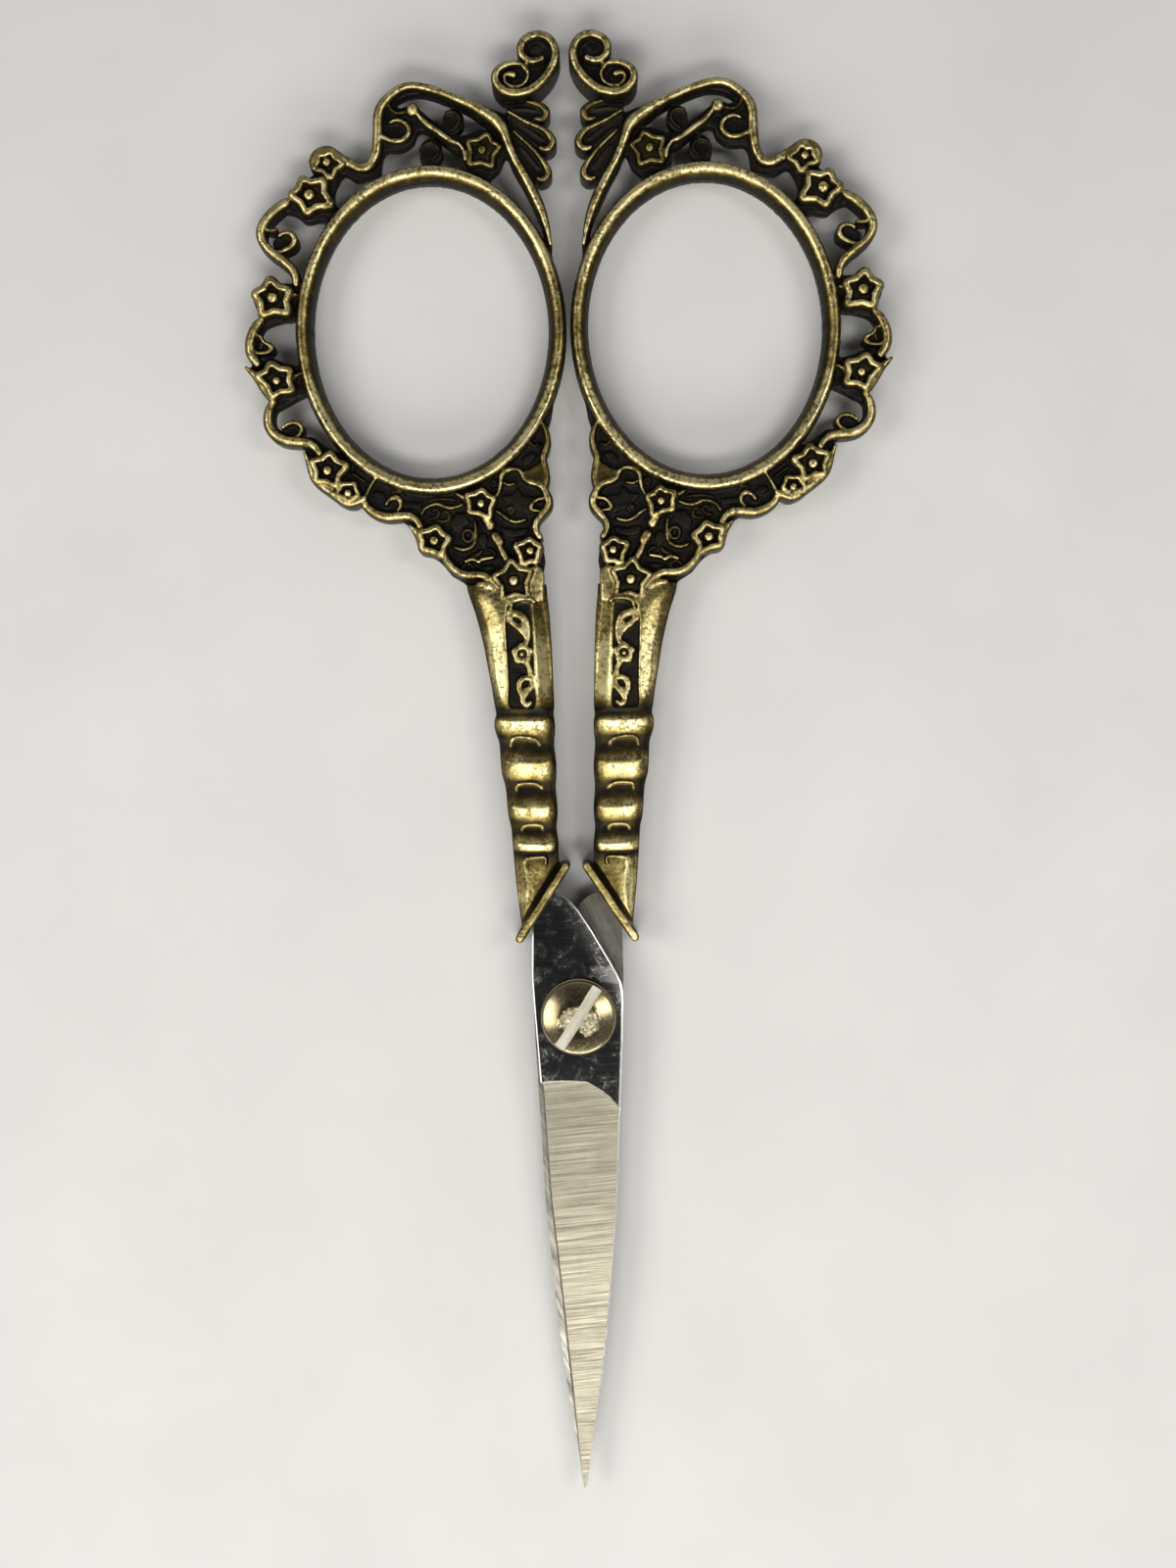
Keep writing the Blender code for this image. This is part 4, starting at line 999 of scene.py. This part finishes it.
def antique_bronze():
    n = Nodes("antique_bronze_relief")
    # This attribute is wear mixed with painted light and shade; it sets colour, metalness and roughness.
    wear_and_painted_light = n.add("ShaderNodeAttribute", attribute_name="wear_and_painted_light").outputs["Fac"]
    large = n.noise(230, 3.0, 0.6)
    blotch = n.noise(760, 4.0, 0.62)
    speck = n.noise(3000, 4.0, 0.7)
    grain = n.noise(11000, 3.0, 0.65)
    worn = n.math("ADD", wear_and_painted_light, n.span(blotch, 0.3, 0.7, -0.2, 0.12))
    worn = n.math("ADD", worn, n.span(speck, 0.35, 0.7, 0.08, -0.14))
    colour = n.ramp(worn, [
        (0.0, (0.004, 0.0035, 0.003)),
        (0.16, (0.011, 0.009, 0.005)),
        (0.36, (0.052, 0.039, 0.014)),
        (0.6, (0.17, 0.13, 0.042)),
        (0.82, (0.45, 0.365, 0.145)),
        (0.97, (0.85, 0.74, 0.385)),
    ])
    # Small brown pits where the plating is worn, more of them in some places.
    open_metal = n.span(worn, 0.18, 0.5, 0.1, 1.0)
    pits = n.math("ADD", speck, n.span(large, 0.35, 0.7, 0.07, -0.07))
    pits = n.span(pits, 0.53, 0.62, 0.0, 0.78)
    colour = n.mix(n.math("MULTIPLY", pits, open_metal), colour, (0.085, 0.064, 0.022))
    dots = n.span(grain, 0.55, 0.67, 0.0, 0.55)
    colour = n.mix(n.math("MULTIPLY", dots, open_metal), colour, (0.06, 0.044, 0.017))
    metal = n.span(worn, 0.08, 0.4, 0.25, 1.0)
    rough = n.span(worn, 0.15, 0.95, 0.46, 0.37)
    rough = n.math("ADD", rough, n.span(blotch, 0.3, 0.75, -0.06, 0.1))
    bumps = n.bump(n.noise(1500, 3.0, 0.55), 0.5, 0.00003)
    bumps = n.bump(speck, -0.5, 0.000024, bumps)
    bumps = n.bump(grain, 0.4, 0.000012, bumps)
    n.set(Base_Color=colour, Metallic=metal, Roughness=rough, Normal=bumps)
    n.shader.inputs["Specular IOR Level"].default_value = 0.2
    return n.material


bronze = antique_bronze()
for obj in (left, right):
    obj.data.materials.clear()
    obj.data.materials.append(bronze)


def steel(name, shade, rough, scratch=0.25, warm=0.0, grain=None, stretch=None, turn=0.0,
          depth=0.000004, contrast=(0.28, 0.72), cloudy=0.3, painted_sheen=None):
    """Steel with fine wear: shade low and high, roughness low and high.

    The painted sheen is a paler, rougher band beside the line between two points, a painted
    reflection fading over a width and above a height in the plan, all in mm.
    """
    n = Nodes(name)
    cloud = n.noise(420, 4.0, 0.6)
    lines = n.noise(*(grain or (9000, 3.0)), 0.6, stretch=stretch or (0.03, 1.0, 1.0), turn=turn)
    # Fine curved scratches, in some places only.
    hairs = []
    for scale, bend, thick_line in ((1500, 1.9, 0.022), (2600, 1.5, 0.04)):
        curl = n.noise(scale, 2.0, 0.5, distortion=bend)
        hair = n.math("ABSOLUTE", n.math("SUBTRACT", curl, 0.5))
        hairs.append(n.span(hair, 0.002, thick_line, 1.0, 0.0))
    hair = n.math("MAXIMUM", *hairs)
    patch = n.span(n.noise(900, 4.0, 0.68, distortion=0.5), 0.48, 0.64, 0.0, 1.0)
    haze = n.span(n.noise(4200, 5.0, 0.75, distortion=0.8), 0.46, 0.72, 0.0, 1.0)
    mark = n.math("MULTIPLY", n.math("ADD", n.math("MULTIPLY", hair, 0.5),
                                     n.math("MULTIPLY", haze, 0.16)), patch)
    mark = n.math("MULTIPLY", mark, scratch, clamp=True)
    value = n.math("ADD", n.math("MULTIPLY", lines, 1.0 - cloudy), n.math("MULTIPLY", cloud, cloudy))
    low, high = shade
    tint = (1.0, 0.985 - 0.035 * warm, 0.965 - 0.17 * warm)
    colour = n.ramp(value, [
        (contrast[0], tuple(low * t for t in tint)),
        (contrast[1], tuple(high * t for t in tint)),
    ])
    colour = n.mix(mark, colour, (0.75, 0.74, 0.71))
    roughness = n.math("ADD", n.span(value, *contrast, *rough), n.math("MULTIPLY", mark, 0.45))
    if painted_sheen is not None:
        (ax, ay), (bx, by), wide, foot = painted_sheen
        long_line = math.hypot(bx - ax, by - ay)
        split = n.add("ShaderNodeSeparateXYZ")
        n.link(n.place, split.inputs[0])
        aside = n.math("MULTIPLY", n.math("SUBTRACT", split.outputs["X"], ax * 0.001),
                       (by - ay) / long_line)
        below = n.math("MULTIPLY", n.math("SUBTRACT", split.outputs["Y"], ay * 0.001),
                       (ax - bx) / long_line)
        sheen_band = n.span(n.math("ADD", aside, below), wide * 0.00035, wide * 0.001, 1.0, 0.0)
        sheen_band = n.math("MULTIPLY", sheen_band, n.span(split.outputs["Y"], (foot - 1.5) * 0.001,
                                               (foot + 1.5) * 0.001))
        sheen_band = n.math("MULTIPLY", sheen_band, n.span(cloud, 0.3, 0.7, 0.6, 1.0))
        # Painted reflection: the sheen band is paler.
        colour = n.mix(n.math("MULTIPLY", sheen_band, 0.1), colour, (0.75, 0.74, 0.71))
        roughness = n.math("ADD", roughness, n.math("MULTIPLY", sheen_band, 0.07))
    bumps = n.bump(lines, 0.6, depth)
    bumps = n.bump(cloud, 0.15, 0.00001, bumps)
    n.set(Base_Color=colour, Roughness=roughness, Normal=bumps)
    n.shader.inputs["Metallic"].default_value = 1.0
    return n.material


edge_top, edge_low = at(582, 917), at(635, 1007)
# The polished face carries a painted sheen beside its right edge.
polished = steel("polished_steel_face", (0.42, 0.52), (0.08, 0.14), scratch=0.72, depth=0.0000012,
                 painted_sheen=((edge_top[0], edge_top[1] + PIVOT_Y), (edge_low[0], edge_low[1] + PIVOT_Y),
                        1.5, PIVOT_Y))
# The edges are a lighter steel than the face: painted highlight.
edge_steel_painted_bright = steel("polished_steel_edges_painted_highlight", (0.62, 0.9), (0.26, 0.4), depth=0.000001,
                      grain=(3200, 4.0), stretch=(1.0, 1.0, 1.0))
ground = steel("ground_steel_face", (0.13, 0.325), (0.44, 0.36), scratch=0.15, warm=1.35,
               grain=(9800, 4.0), stretch=(0.014, 1.0, 1.0), turn=0.09, depth=0.000006,
               contrast=(0.34, 0.66), cloudy=0.12)
inner = steel("brushed_inner_face", (0.08, 0.30), (0.40, 0.3), scratch=0.3, warm=0.8,
              grain=(5200, 5.0), stretch=(1.0, 0.03, 1.0), turn=0.45, depth=0.000008,
              contrast=(0.36, 0.64))


def nickel(name, swirl):
    n = Nodes(name)
    cloud = n.noise(520, 4.0, 0.6)
    fine = n.noise(5200, 3.0, 0.65)
    spread = n.add("ShaderNodeVectorMath", operation="SUBTRACT")
    n.link(n.place, spread.inputs[0])
    spread.inputs[1].default_value = (0.0, PIVOT_Y * 0.001, 0.0)
    flat = n.add("ShaderNodeVectorMath", operation="MULTIPLY")
    n.link(spread.outputs[0], flat.inputs[0])
    flat.inputs[1].default_value = (1.0, 1.0, 0.0)
    length = n.add("ShaderNodeVectorMath", operation="LENGTH")
    n.link(flat.outputs[0], length.inputs[0])
    radius = length.outputs["Value"]
    rings = n.math("SINE", n.math("ADD", n.math("MULTIPLY", radius, 62000.0),
                                  n.math("MULTIPLY", cloud, 9.0)))
    colour = n.ramp(n.math("ADD", n.math("MULTIPLY", fine, 0.5), n.math("MULTIPLY", cloud, 0.5)), [
        (0.3, (0.32, 0.265, 0.145)),
        (0.7, (0.50, 0.42, 0.25)),
    ])
    roughness = n.span(fine, 0.3, 0.75, 0.15, 0.3)
    bumps = n.bump(rings, 0.25, 0.0000012 * swirl)
    bumps = n.bump(fine, 0.3, 0.000003, bumps)
    if swirl == 1.0:
        # Beaten hollows beside the slot: paler and duller, with creases.
        scar = n.add("ShaderNodeAttribute", attribute_name="scar").outputs["Fac"]
        beaten = n.noise(1900, 3.0, 0.6, distortion=1.8)
        colour = n.mix(n.math("MULTIPLY", scar, n.span(beaten, 0.4, 0.58)), colour,
                       (0.95, 0.88, 0.66))
        roughness = n.math("ADD", roughness, n.math("MULTIPLY", scar, 0.2))
        dents = n.math("MULTIPLY", scar, beaten)
        bumps = n.bump(dents, 1.0, 0.00022, bumps)
    n.set(Base_Color=colour, Roughness=roughness, Normal=bumps)
    n.shader.inputs["Metallic"].default_value = 1.0
    return n.material


nickel_head = nickel("pale_nickel_turned", 1.0)
nickel_ring = nickel("pale_nickel_ring", 0.6)
slot_metal = steel("cut_slot_floor", (0.8, 1.0), (0.5, 0.6), scratch=0.2, warm=0.8,
                   grain=(5200, 4.0), stretch=(1.0, 0.3, 1.0), turn=-0.57, depth=0.00002)
slot_metal.node_tree.nodes["Principled BSDF"].inputs["Metallic"].default_value = 0.0

# ---- Blades ----------------------------------------------------------------

REAR_Z, FRONT_Z, BLADE_T = 0.575, 2.225, 1.4
RIGHT_EDGE = [
    (567, 911.5), (574, 914), (581, 918.5), (589.5, 928.5), (603.5, 949.5), (620.5, 978.5),
    (630, 994.5), (634.2, 1003.5), (636, 1015), (635.8, 1040), (635.5, 1066), (633.5, 1101),
    (632, 1150), (630.5, 1219), (628.5, 1239), (624, 1300), (621.5, 1339), (614.3, 1407),
    (607, 1461), (599.6, 1515), (597.6, 1521.5),
]
LEFT_EDGE = [
    (560, 911.5), (554.7, 920), (548.4, 930), (543.4, 938), (543.2, 959.5), (543, 998), (545.6, 1032), (551.7, 1104), (553.6, 1113),
    (561, 1219), (570.5, 1300), (575, 1339), (578.6, 1375), (589.3, 1470), (594.8, 1515),
    (596.4, 1521.5),
]
FACET = [
    (911.5, 3), (922, 3), (931, 5), (945, 7), (965, 15), (985, 24), (1005, 18), (1028, 9),
    (1050, 5.5), (1075, 4), (1134, 4), (1160, 2), (1521.5, 0.3),
]
GRIND = [
    (543, 1105.5), (552, 1104), (565, 1102.5), (585, 1102.5), (600, 1103.5), (606, 1107.5),
    (615, 1113), (624, 1120), (630, 1127), (637, 1135),
]


def course(points, v):
    """The edge's u at a row."""
    rows = np.array(points, float)
    return float(np.interp(v, rows[:, 1], rows[:, 0]))


def steepness(points, v):
    return math.hypot(1.0, (course(points, v + 1.5) - course(points, v - 1.5)) / 3.0)


ROWS = (
    list(np.arange(911.5, 1012, 2.5)) + list(np.arange(1012, 1080, 8.0))
    + list(np.arange(1080, 1105, 4.0)) + [1105.0, 1106.0, 1109.0, 1112.0, 1117.0, 1124.0, 1134.0]
    + list(np.arange(1150, 1500, 25.0)) + [1500.0, 1508.0, 1515.0, 1521.5]
)
INNER = 18  # columns across the face


def blade_row(v):
    """(u, v, z) of one section from the lower left edge over the top to the lower right."""
    left, right = course(LEFT_EDGE, v), course(RIGHT_EDGE, v)
    wide = right - left
    cut = smooth((v - 1105.0) / 5.0)  # 0 on the polished face, 1 on the ground one
    along = min(max((v - 1105.0) / 412.0, 0.0), 1.0)
    narrow = min(1.0, wide * GRID / 2.2)
    chamfer_l = ((1 - cut) * 0.10 + cut * 0.16) * narrow / GRID * steepness(LEFT_EDGE, v)
    chamfer_r = (
        ((1 - cut) * (0.08 + 0.09 * smooth((v - 985.0) / 25.0)) + cut * 0.13)
        * narrow / GRID * steepness(RIGHT_EDGE, v)
    )
    top_l = FRONT_Z + BLADE_T - cut * (0.10 + 0.42 * smooth((along - 0.35) / 0.65) + 0.56 * along)
    top_r = FRONT_Z + BLADE_T - cut * (0.07 + 0.40 * smooth((along - 0.35) / 0.65) + 0.58 * along)
    facet = min(np.interp(v, *np.array(FACET, float).T), 0.45 * wide)
    drop = facet * GRID * 0.14 * (1 - cut)
    low_l = (1 - cut) * (top_l - 0.05) + cut * (FRONT_Z + 0.1)
    low_r = top_r - drop - 0.32 * chamfer_r * GRID
    row = [(left, v, FRONT_Z), (left, v, low_l)]
    first, last = left + chamfer_l, right - chamfer_r
    knee = last - facet
    bend = max(-30.0, min(30.0, v - 1105.0))
    follow = (1 - abs(bend) / 30.0) if bend < 0 else max(0.0, 1 - bend / 45.0)
    def lean(u):
        return v + follow * (float(np.interp(u, *np.array(GRIND, float).T)) - 1105.0)
    for k in range(INNER + 1):
        s = k / INNER
        u = first + (knee - first) * s
        z = top_l + (top_r - top_l) * ((u - first) / max(last - first, 1e-6))
        row.append((u, lean(u), z))
    end = top_r - drop
    row.append((last, lean(last), end))
    row.append((right, lean(right), low_r))
    row.append((right, lean(right), FRONT_Z))
    return row


def make_blade(name, front):
    rows = [blade_row(v) for v in ROWS]
    bm = bmesh.new()
    grid = []
    for row in rows:
        line = []
        for u, v, z in row:
            x, y = at(u, v)
            if not front:
                x, z = -x, 2 * MID_Z - z
            line.append(bm.verts.new((x * 0.001, (y + PIVOT_Y) * 0.001, z * 0.001)))
        grid.append(line)
    # Slots: 0 polished, 1 edges (a lighter steel, as painted highlight), 2 ground, 3 inner face and sides.
    columns = len(grid[0])
    for r in range(len(grid) - 1):
        for c in range(columns - 1):
            face = bm.faces.new((grid[r][c], grid[r + 1][c], grid[r + 1][c + 1], grid[r][c + 1]))
            face.smooth = True
            ground_here = ROWS[r] >= 1105.0
            if c == 0 or c == columns - 2:
                face.material_index = 3
            elif c == columns - 3 or (c == 1 and not ground_here):
                face.material_index = 1
            # On the ground face the edge bevel takes the darker inner steel: painted shade.
            elif c == 1:
                face.material_index = 3
            else:
                face.material_index = 2 if ground_here else 0
        face = bm.faces.new((grid[r][0], grid[r][-1], grid[r + 1][-1], grid[r + 1][0]))
        face.material_index = 3
    for line in (grid[0], list(reversed(grid[-1]))):
        face = bm.faces.new(line)
        face.material_index = 3
    bmesh.ops.recalc_face_normals(bm, faces=bm.faces)
    mesh = bpy.data.meshes.new(name)
    bm.to_mesh(mesh)
    bm.free()
    obj = new_object(name, mesh)
    for m in (polished, edge_steel_painted_bright, ground, inner):
        mesh.materials.append(m)
    # Hole of the screw.
    bm = bmesh.new()
    bmesh.ops.create_cone(bm, cap_ends=True, segments=72, radius1=0.00175, radius2=0.00175,
                          depth=0.006, matrix=Matrix.Translation((0, PIVOT_Y * 0.001, 0.0021)))
    tool_mesh = bpy.data.meshes.new("hole")
    bm.to_mesh(tool_mesh)
    bm.free()
    tool = new_object("hole", tool_mesh)
    cut = obj.modifiers.new("hole", "BOOLEAN")
    cut.operation, cut.solver, cut.object = "DIFFERENCE", "EXACT", tool
    applied(obj)
    bpy.data.objects.remove(tool)
    obj.data.set_sharp_from_angle(angle=math.radians(9))
    return obj


front_blade = make_blade("blade_front", True)
rear_blade = make_blade("blade_rear", False)
for obj, node, body in ((front_blade, "front_blade", "front_half"),
                        (rear_blade, "rear_blade", "rear_half")):
    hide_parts(node)
    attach(obj, body)

# ---- Pivot screw and washer ------------------------------------------------

HEAD_LOW, HEAD_HIGH, HEAD_R = 4.275, 5.18, 3.08


def turned(name, profile, segments=160):
    """A turned piece about the pivot's axis from (radius, z) points in millimetres."""
    bm = bmesh.new()
    rings = []
    for r, z in profile:
        if r < 1e-6:
            rings.append([bm.verts.new((0, PIVOT_Y * 0.001, z * 0.001))])
        else:
            rings.append([
                bm.verts.new((r * math.cos(a) * 0.001, (r * math.sin(a) + PIVOT_Y) * 0.001,
                              z * 0.001))
                for a in np.linspace(0, 2 * math.pi, segments, endpoint=False)
            ])
    for p, q in zip(rings, rings[1:]):
        for k in range(segments):
            n = (k + 1) % segments
            if len(p) == 1:
                bm.faces.new((p[0], q[k], q[n]))
            elif len(q) == 1:
                bm.faces.new((p[k], q[0], p[n]))
            else:
                bm.faces.new((p[k], q[k], q[n], p[n]))
    bmesh.ops.recalc_face_normals(bm, faces=bm.faces)
    for face in bm.faces:
        face.smooth = True
    mesh = bpy.data.meshes.new(name)
    bm.to_mesh(mesh)
    bm.free()
    return new_object(name, mesh)


def dome(r):
    """Height of the head: nearly flat in the middle, rounded towards the rim."""
    part = (np.arange(80) + 0.5) / 80 * r
    slope = np.interp(part, [0.0, 1.45, 1.85, 2.9], [0.0, 4.5, 13.5, 20.5])
    return HEAD_HIGH - float(np.tan(np.radians(slope)).mean()) * r


profile = [(0.0, HEAD_HIGH)]
profile += [(r, dome(r)) for r in np.linspace(0.06, 2.95, 52)]
rim_high = dome(2.95)
profile += [
    (2.95 + 0.13 * math.sin(a), rim_high - 0.018 - 0.13 * (1 - math.cos(a)))
    for a in np.radians([25, 40, 55, 70, 82, 90])
]
profile += [(HEAD_R, HEAD_LOW + 0.06), (HEAD_R - 0.06, HEAD_LOW), (1.5, HEAD_LOW),
            (1.5, REAR_Z + 0.1), (1.42, REAR_Z - 0.05), (1.2, REAR_Z - 0.15),
            (0.5, REAR_Z - 0.15), (0.4, REAR_Z - 0.06), (0.0, REAR_Z + 0.02)]
screw = turned("screw", profile)
# Peened hollows on both sides of the slot.
SCARS = [(-0.78, -0.05, 0.95, 0.62, 0.075), (0.92, -0.42, 0.95, 0.7, 0.08),
         (-0.2, 0.5, 0.5, 0.3, 0.04)]


def scar_reach(x, y, scar):
    """0 in the middle of a hollow and about 1 at its edge, which is uneven."""
    sx, sy, a, b, depth = scar
    t = math.radians(57)
    p = ((x - sx) * math.cos(t) + (y - sy) * math.sin(t)) / a
    q = (-(x - sx) * math.sin(t) + (y - sy) * math.cos(t)) / b
    ragged = solid_noise.noise(Vector((x * 2.6, y * 2.6, 4.0))) * 0.35
    return math.hypot(p, q) + ragged


for v in screw.data.vertices:
    x, y, z = v.co.x * 1000, v.co.y * 1000 - PIVOT_Y, v.co.z * 1000
    if z < 4.6 or math.hypot(x, y) > 2.4:
        continue
    for scar in SCARS:
        r, depth = scar_reach(x, y, scar), scar[4]
        if r < 1.35:
            sink = -depth * float(smooth((1.0 - r) / 0.45))
            rim = 0.35 * depth * math.exp(-(((r - 1.05) / 0.14) ** 2))
            dents = 0.02 * solid_noise.noise(Vector((x * 5.0, y * 5.0, 1.0))) * float(smooth((1.2 - r) / 0.3))
            v.co.z += (sink + rim + dents) * 0.001
ANGLE = math.radians(57)
bm = bmesh.new()
bmesh.ops.create_grid(bm, x_segments=60, y_segments=8, size=0.5)
rough = np.random.default_rng(11).normal(size=len(bm.verts))
for v, jitter in zip(bm.verts, rough):
    v.co = Vector((v.co.x * 9.0, v.co.y * 0.9, 4.675 + 0.008 * jitter))
top = bmesh.ops.extrude_face_region(bm, geom=bm.faces[:])
for v in [g for g in top["geom"] if isinstance(g, bmesh.types.BMVert)]:
    v.co.z = 6.0
bmesh.ops.recalc_face_normals(bm, faces=bm.faces)
bmesh.ops.transform(bm, verts=bm.verts, matrix=Matrix.Translation((0, PIVOT_Y * 0.001, 0))
                    @ Matrix.Rotation(ANGLE, 4, "Z") @ Matrix.Scale(0.001, 4))
tool_mesh = bpy.data.meshes.new("slot_cut")
bm.to_mesh(tool_mesh)
bm.free()
tool = new_object("slot_cut", tool_mesh)
screw.data.materials.append(nickel_head)
tool_mesh.materials.append(slot_metal)
cut = screw.modifiers.new("slot", "BOOLEAN")
cut.operation, cut.solver, cut.object = "DIFFERENCE", "EXACT", tool
cut.material_mode = "TRANSFER"
applied(screw)
bpy.data.objects.remove(tool)
soften = screw.modifiers.new("soften", "BEVEL")
soften.width, soften.segments = 0.000035, 2
soften.limit_method, soften.angle_limit = "ANGLE", math.radians(50)
applied(screw)
screw.data.set_sharp_from_angle(angle=math.radians(40))
scarred = screw.data.attributes.new("scar", "FLOAT", "POINT")
for v, item in zip(screw.data.vertices, scarred.data):
    x, y = v.co.x * 1000, v.co.y * 1000 - PIVOT_Y
    if v.co.z * 1000 > 4.9 and math.hypot(x, y) < 2.4:
        item.value = max(float(smooth((1.2 - scar_reach(x, y, s)) / 0.3)) for s in SCARS)

WL, WH, WR = 3.825, 4.075, 3.225
washer = turned("washer", [
    (1.8, WL), (WR - 0.05, WL), (WR, WL + 0.05), (WR, WH - 0.07), (WR - 0.07, WH),
    (1.86, WH), (1.8, WH - 0.05), (1.8, WL),
])
bm = bmesh.new()
bm.from_mesh(washer.data)
bmesh.ops.remove_doubles(bm, verts=bm.verts, dist=1e-7)
bmesh.ops.recalc_face_normals(bm, faces=bm.faces)
bm.to_mesh(washer.data)
bm.free()
washer.data.set_sharp_from_angle(angle=math.radians(40))
washer.data.materials.append(nickel_ring)
for obj, node in ((screw, "pivot_screw"), (washer, "pivot_washer")):
    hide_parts(node)
    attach(obj, "rear_half")

# ---- Stage -----------------------------------------------------------------


def stage_plane(size, z):
    mesh = bpy.data.meshes.new("floor")
    mesh.from_pydata([(-size, -size, z), (size, -size, z), (size, size, z), (-size, size, z)],
                     [], [(0, 1, 2, 3)])
    obj = new_object("floor", mesh)
    n = Nodes("pale_floor")
    shade = n.noise(60, 3.0, 0.5)
    n.set(Base_Color=n.ramp(shade, [(0.3, (0.63, 0.632, 0.636)), (0.7, (0.67, 0.672, 0.676))]))
    n.shader.inputs["Roughness"].default_value = 0.85
    obj.data.materials.append(n.material)
    return obj


stage_plane(3.0, -0.00002)


def light(name, location, target, size_x, size_y, energy, colour=(1, 1, 1)):
    data = bpy.data.lights.new(name, "AREA")
    data.shape = "RECTANGLE"
    data.size, data.size_y = size_x, size_y
    data.energy = energy
    data.color = colour
    obj = bpy.data.objects.new(name, data)
    obj.location = location
    obj.rotation_euler = (Vector(target) - Vector(location)).to_track_quat("-Z", "Y").to_euler()
    obj.visible_camera = False
    bpy.context.scene.collection.objects.link(obj)
    return obj


light("low", (0.0, -0.62, 0.33), (0, 0, 0), 0.80, 0.24, 4.0, (1.0, 0.97, 0.91))
front_light = light("front", (0.0, -0.138, 0.25), (0, 0.015, 0), 0.20, 0.060, 0.48, (1.0, 0.97, 0.91))
light("west", (-0.335, -0.02, 0.37), (0, -0.02, 0), 0.27, 0.22, 1.06, (1.0, 0.97, 0.91))
light("east", (0.262, 0.04, 0.43), (0, 0.0, 0), 0.13, 0.18, 0.60, (1.0, 0.97, 0.91))

# The screw's head keeps out of the near light beyond the tips.
shaded = bpy.data.collections.new("lit_from_the_tips")
for obj in bpy.context.scene.objects:
    if obj.type == "MESH" and obj is not screw:
        shaded.objects.link(obj)
front_light.light_linking.receiver_collection = shaded

world_setting = bpy.data.worlds.new("studio")
world_setting.use_nodes = True
bpy.context.scene.world = world_setting
tree = world_setting.node_tree
background = tree.nodes["Background"]
direction = tree.nodes.new("ShaderNodeTexCoord").outputs["Generated"]
parts = tree.nodes.new("ShaderNodeSeparateXYZ")
tree.links.new(direction, parts.inputs[0])
sky = tree.nodes.new("ShaderNodeValToRGB")
sky.color_ramp.interpolation = "EASE"
stops = [(0.0, (0.42, 0.42, 0.43)), (0.1, (0.38, 0.38, 0.39)), (0.3, (0.20, 0.20, 0.205)),
         (0.5, (0.17, 0.17, 0.175)), (0.76, (0.19, 0.19, 0.195)),
         (0.9, (0.13, 0.132, 0.14)), (0.98, (0.05, 0.052, 0.058))]
while len(sky.color_ramp.elements) < len(stops):
    sky.color_ramp.elements.new(0.5)
for element, (position, colour) in zip(sky.color_ramp.elements, stops):
    element.position, element.color = position, (*colour, 1.0)
tree.links.new(parts.outputs["Z"], sky.inputs[0])
tree.links.new(sky.outputs[0], background.inputs["Color"])
# Dimmer overhead and beyond the tips than to the sides and beyond the rings.
wide = tree.nodes.new("ShaderNodeMath")
wide.operation = "ABSOLUTE"
tree.links.new(parts.outputs["X"], wide.inputs[0])
beyond_rings = tree.nodes.new("ShaderNodeMath")
beyond_rings.operation = "SUBTRACT"
beyond_rings.inputs[1].default_value = 0.3
tree.links.new(parts.outputs["Y"], beyond_rings.inputs[0])
aside = tree.nodes.new("ShaderNodeMath")
aside.operation = "MAXIMUM"
tree.links.new(wide.outputs[0], aside.inputs[0])
tree.links.new(beyond_rings.outputs[0], aside.inputs[1])
dim = tree.nodes.new("ShaderNodeMapRange")
dim.interpolation_type = "SMOOTHSTEP"
for socket, value in zip(list(dim.inputs)[1:5], (0.1, 0.5, 0.45, 1.0)):
    socket.default_value = value
tree.links.new(aside.outputs[0], dim.inputs[0])
lift = tree.nodes.new("ShaderNodeMapRange")
lift.interpolation_type = "SMOOTHSTEP"
for socket, value in zip(list(lift.inputs)[1:5], (0.42, 0.85, 0.0, 1.0)):
    socket.default_value = value
tree.links.new(parts.outputs["Y"], lift.inputs[0])
total = tree.nodes.new("ShaderNodeMath")
total.operation = "ADD"
tree.links.new(dim.outputs[0], total.inputs[0])
tree.links.new(lift.outputs[0], total.inputs[1])
tree.links.new(total.outputs[0], background.inputs["Strength"])

# ---- Camera ----------------------------------------------------------------

CAMERA_HEIGHT = 0.19
SUBJECT_Z = 0.0034
camera_data = bpy.data.cameras.new("camera")
camera_data.sensor_fit = "AUTO"
camera_data.sensor_width = 36.0
frame_height = 1600 * GRID * 0.001
camera_data.lens = 36.0 * (CAMERA_HEIGHT - SUBJECT_Z) / frame_height
camera_data.clip_start, camera_data.clip_end = 0.01, 10.0
camera = bpy.data.objects.new("camera", camera_data)
bpy.context.scene.collection.objects.link(camera)
cx, cy = at(600.0, 800.0)
camera.location = (cx * 0.001, (cy + PIVOT_Y) * 0.001, CAMERA_HEIGHT)
camera.rotation_euler = (0.0, 0.0, -math.atan(LEAN))
bpy.context.scene.camera = camera

bpy.context.scene.view_settings.view_transform = "Standard"
bpy.context.scene.view_settings.look = "None"
bpy.context.scene.view_settings.exposure = -0.35
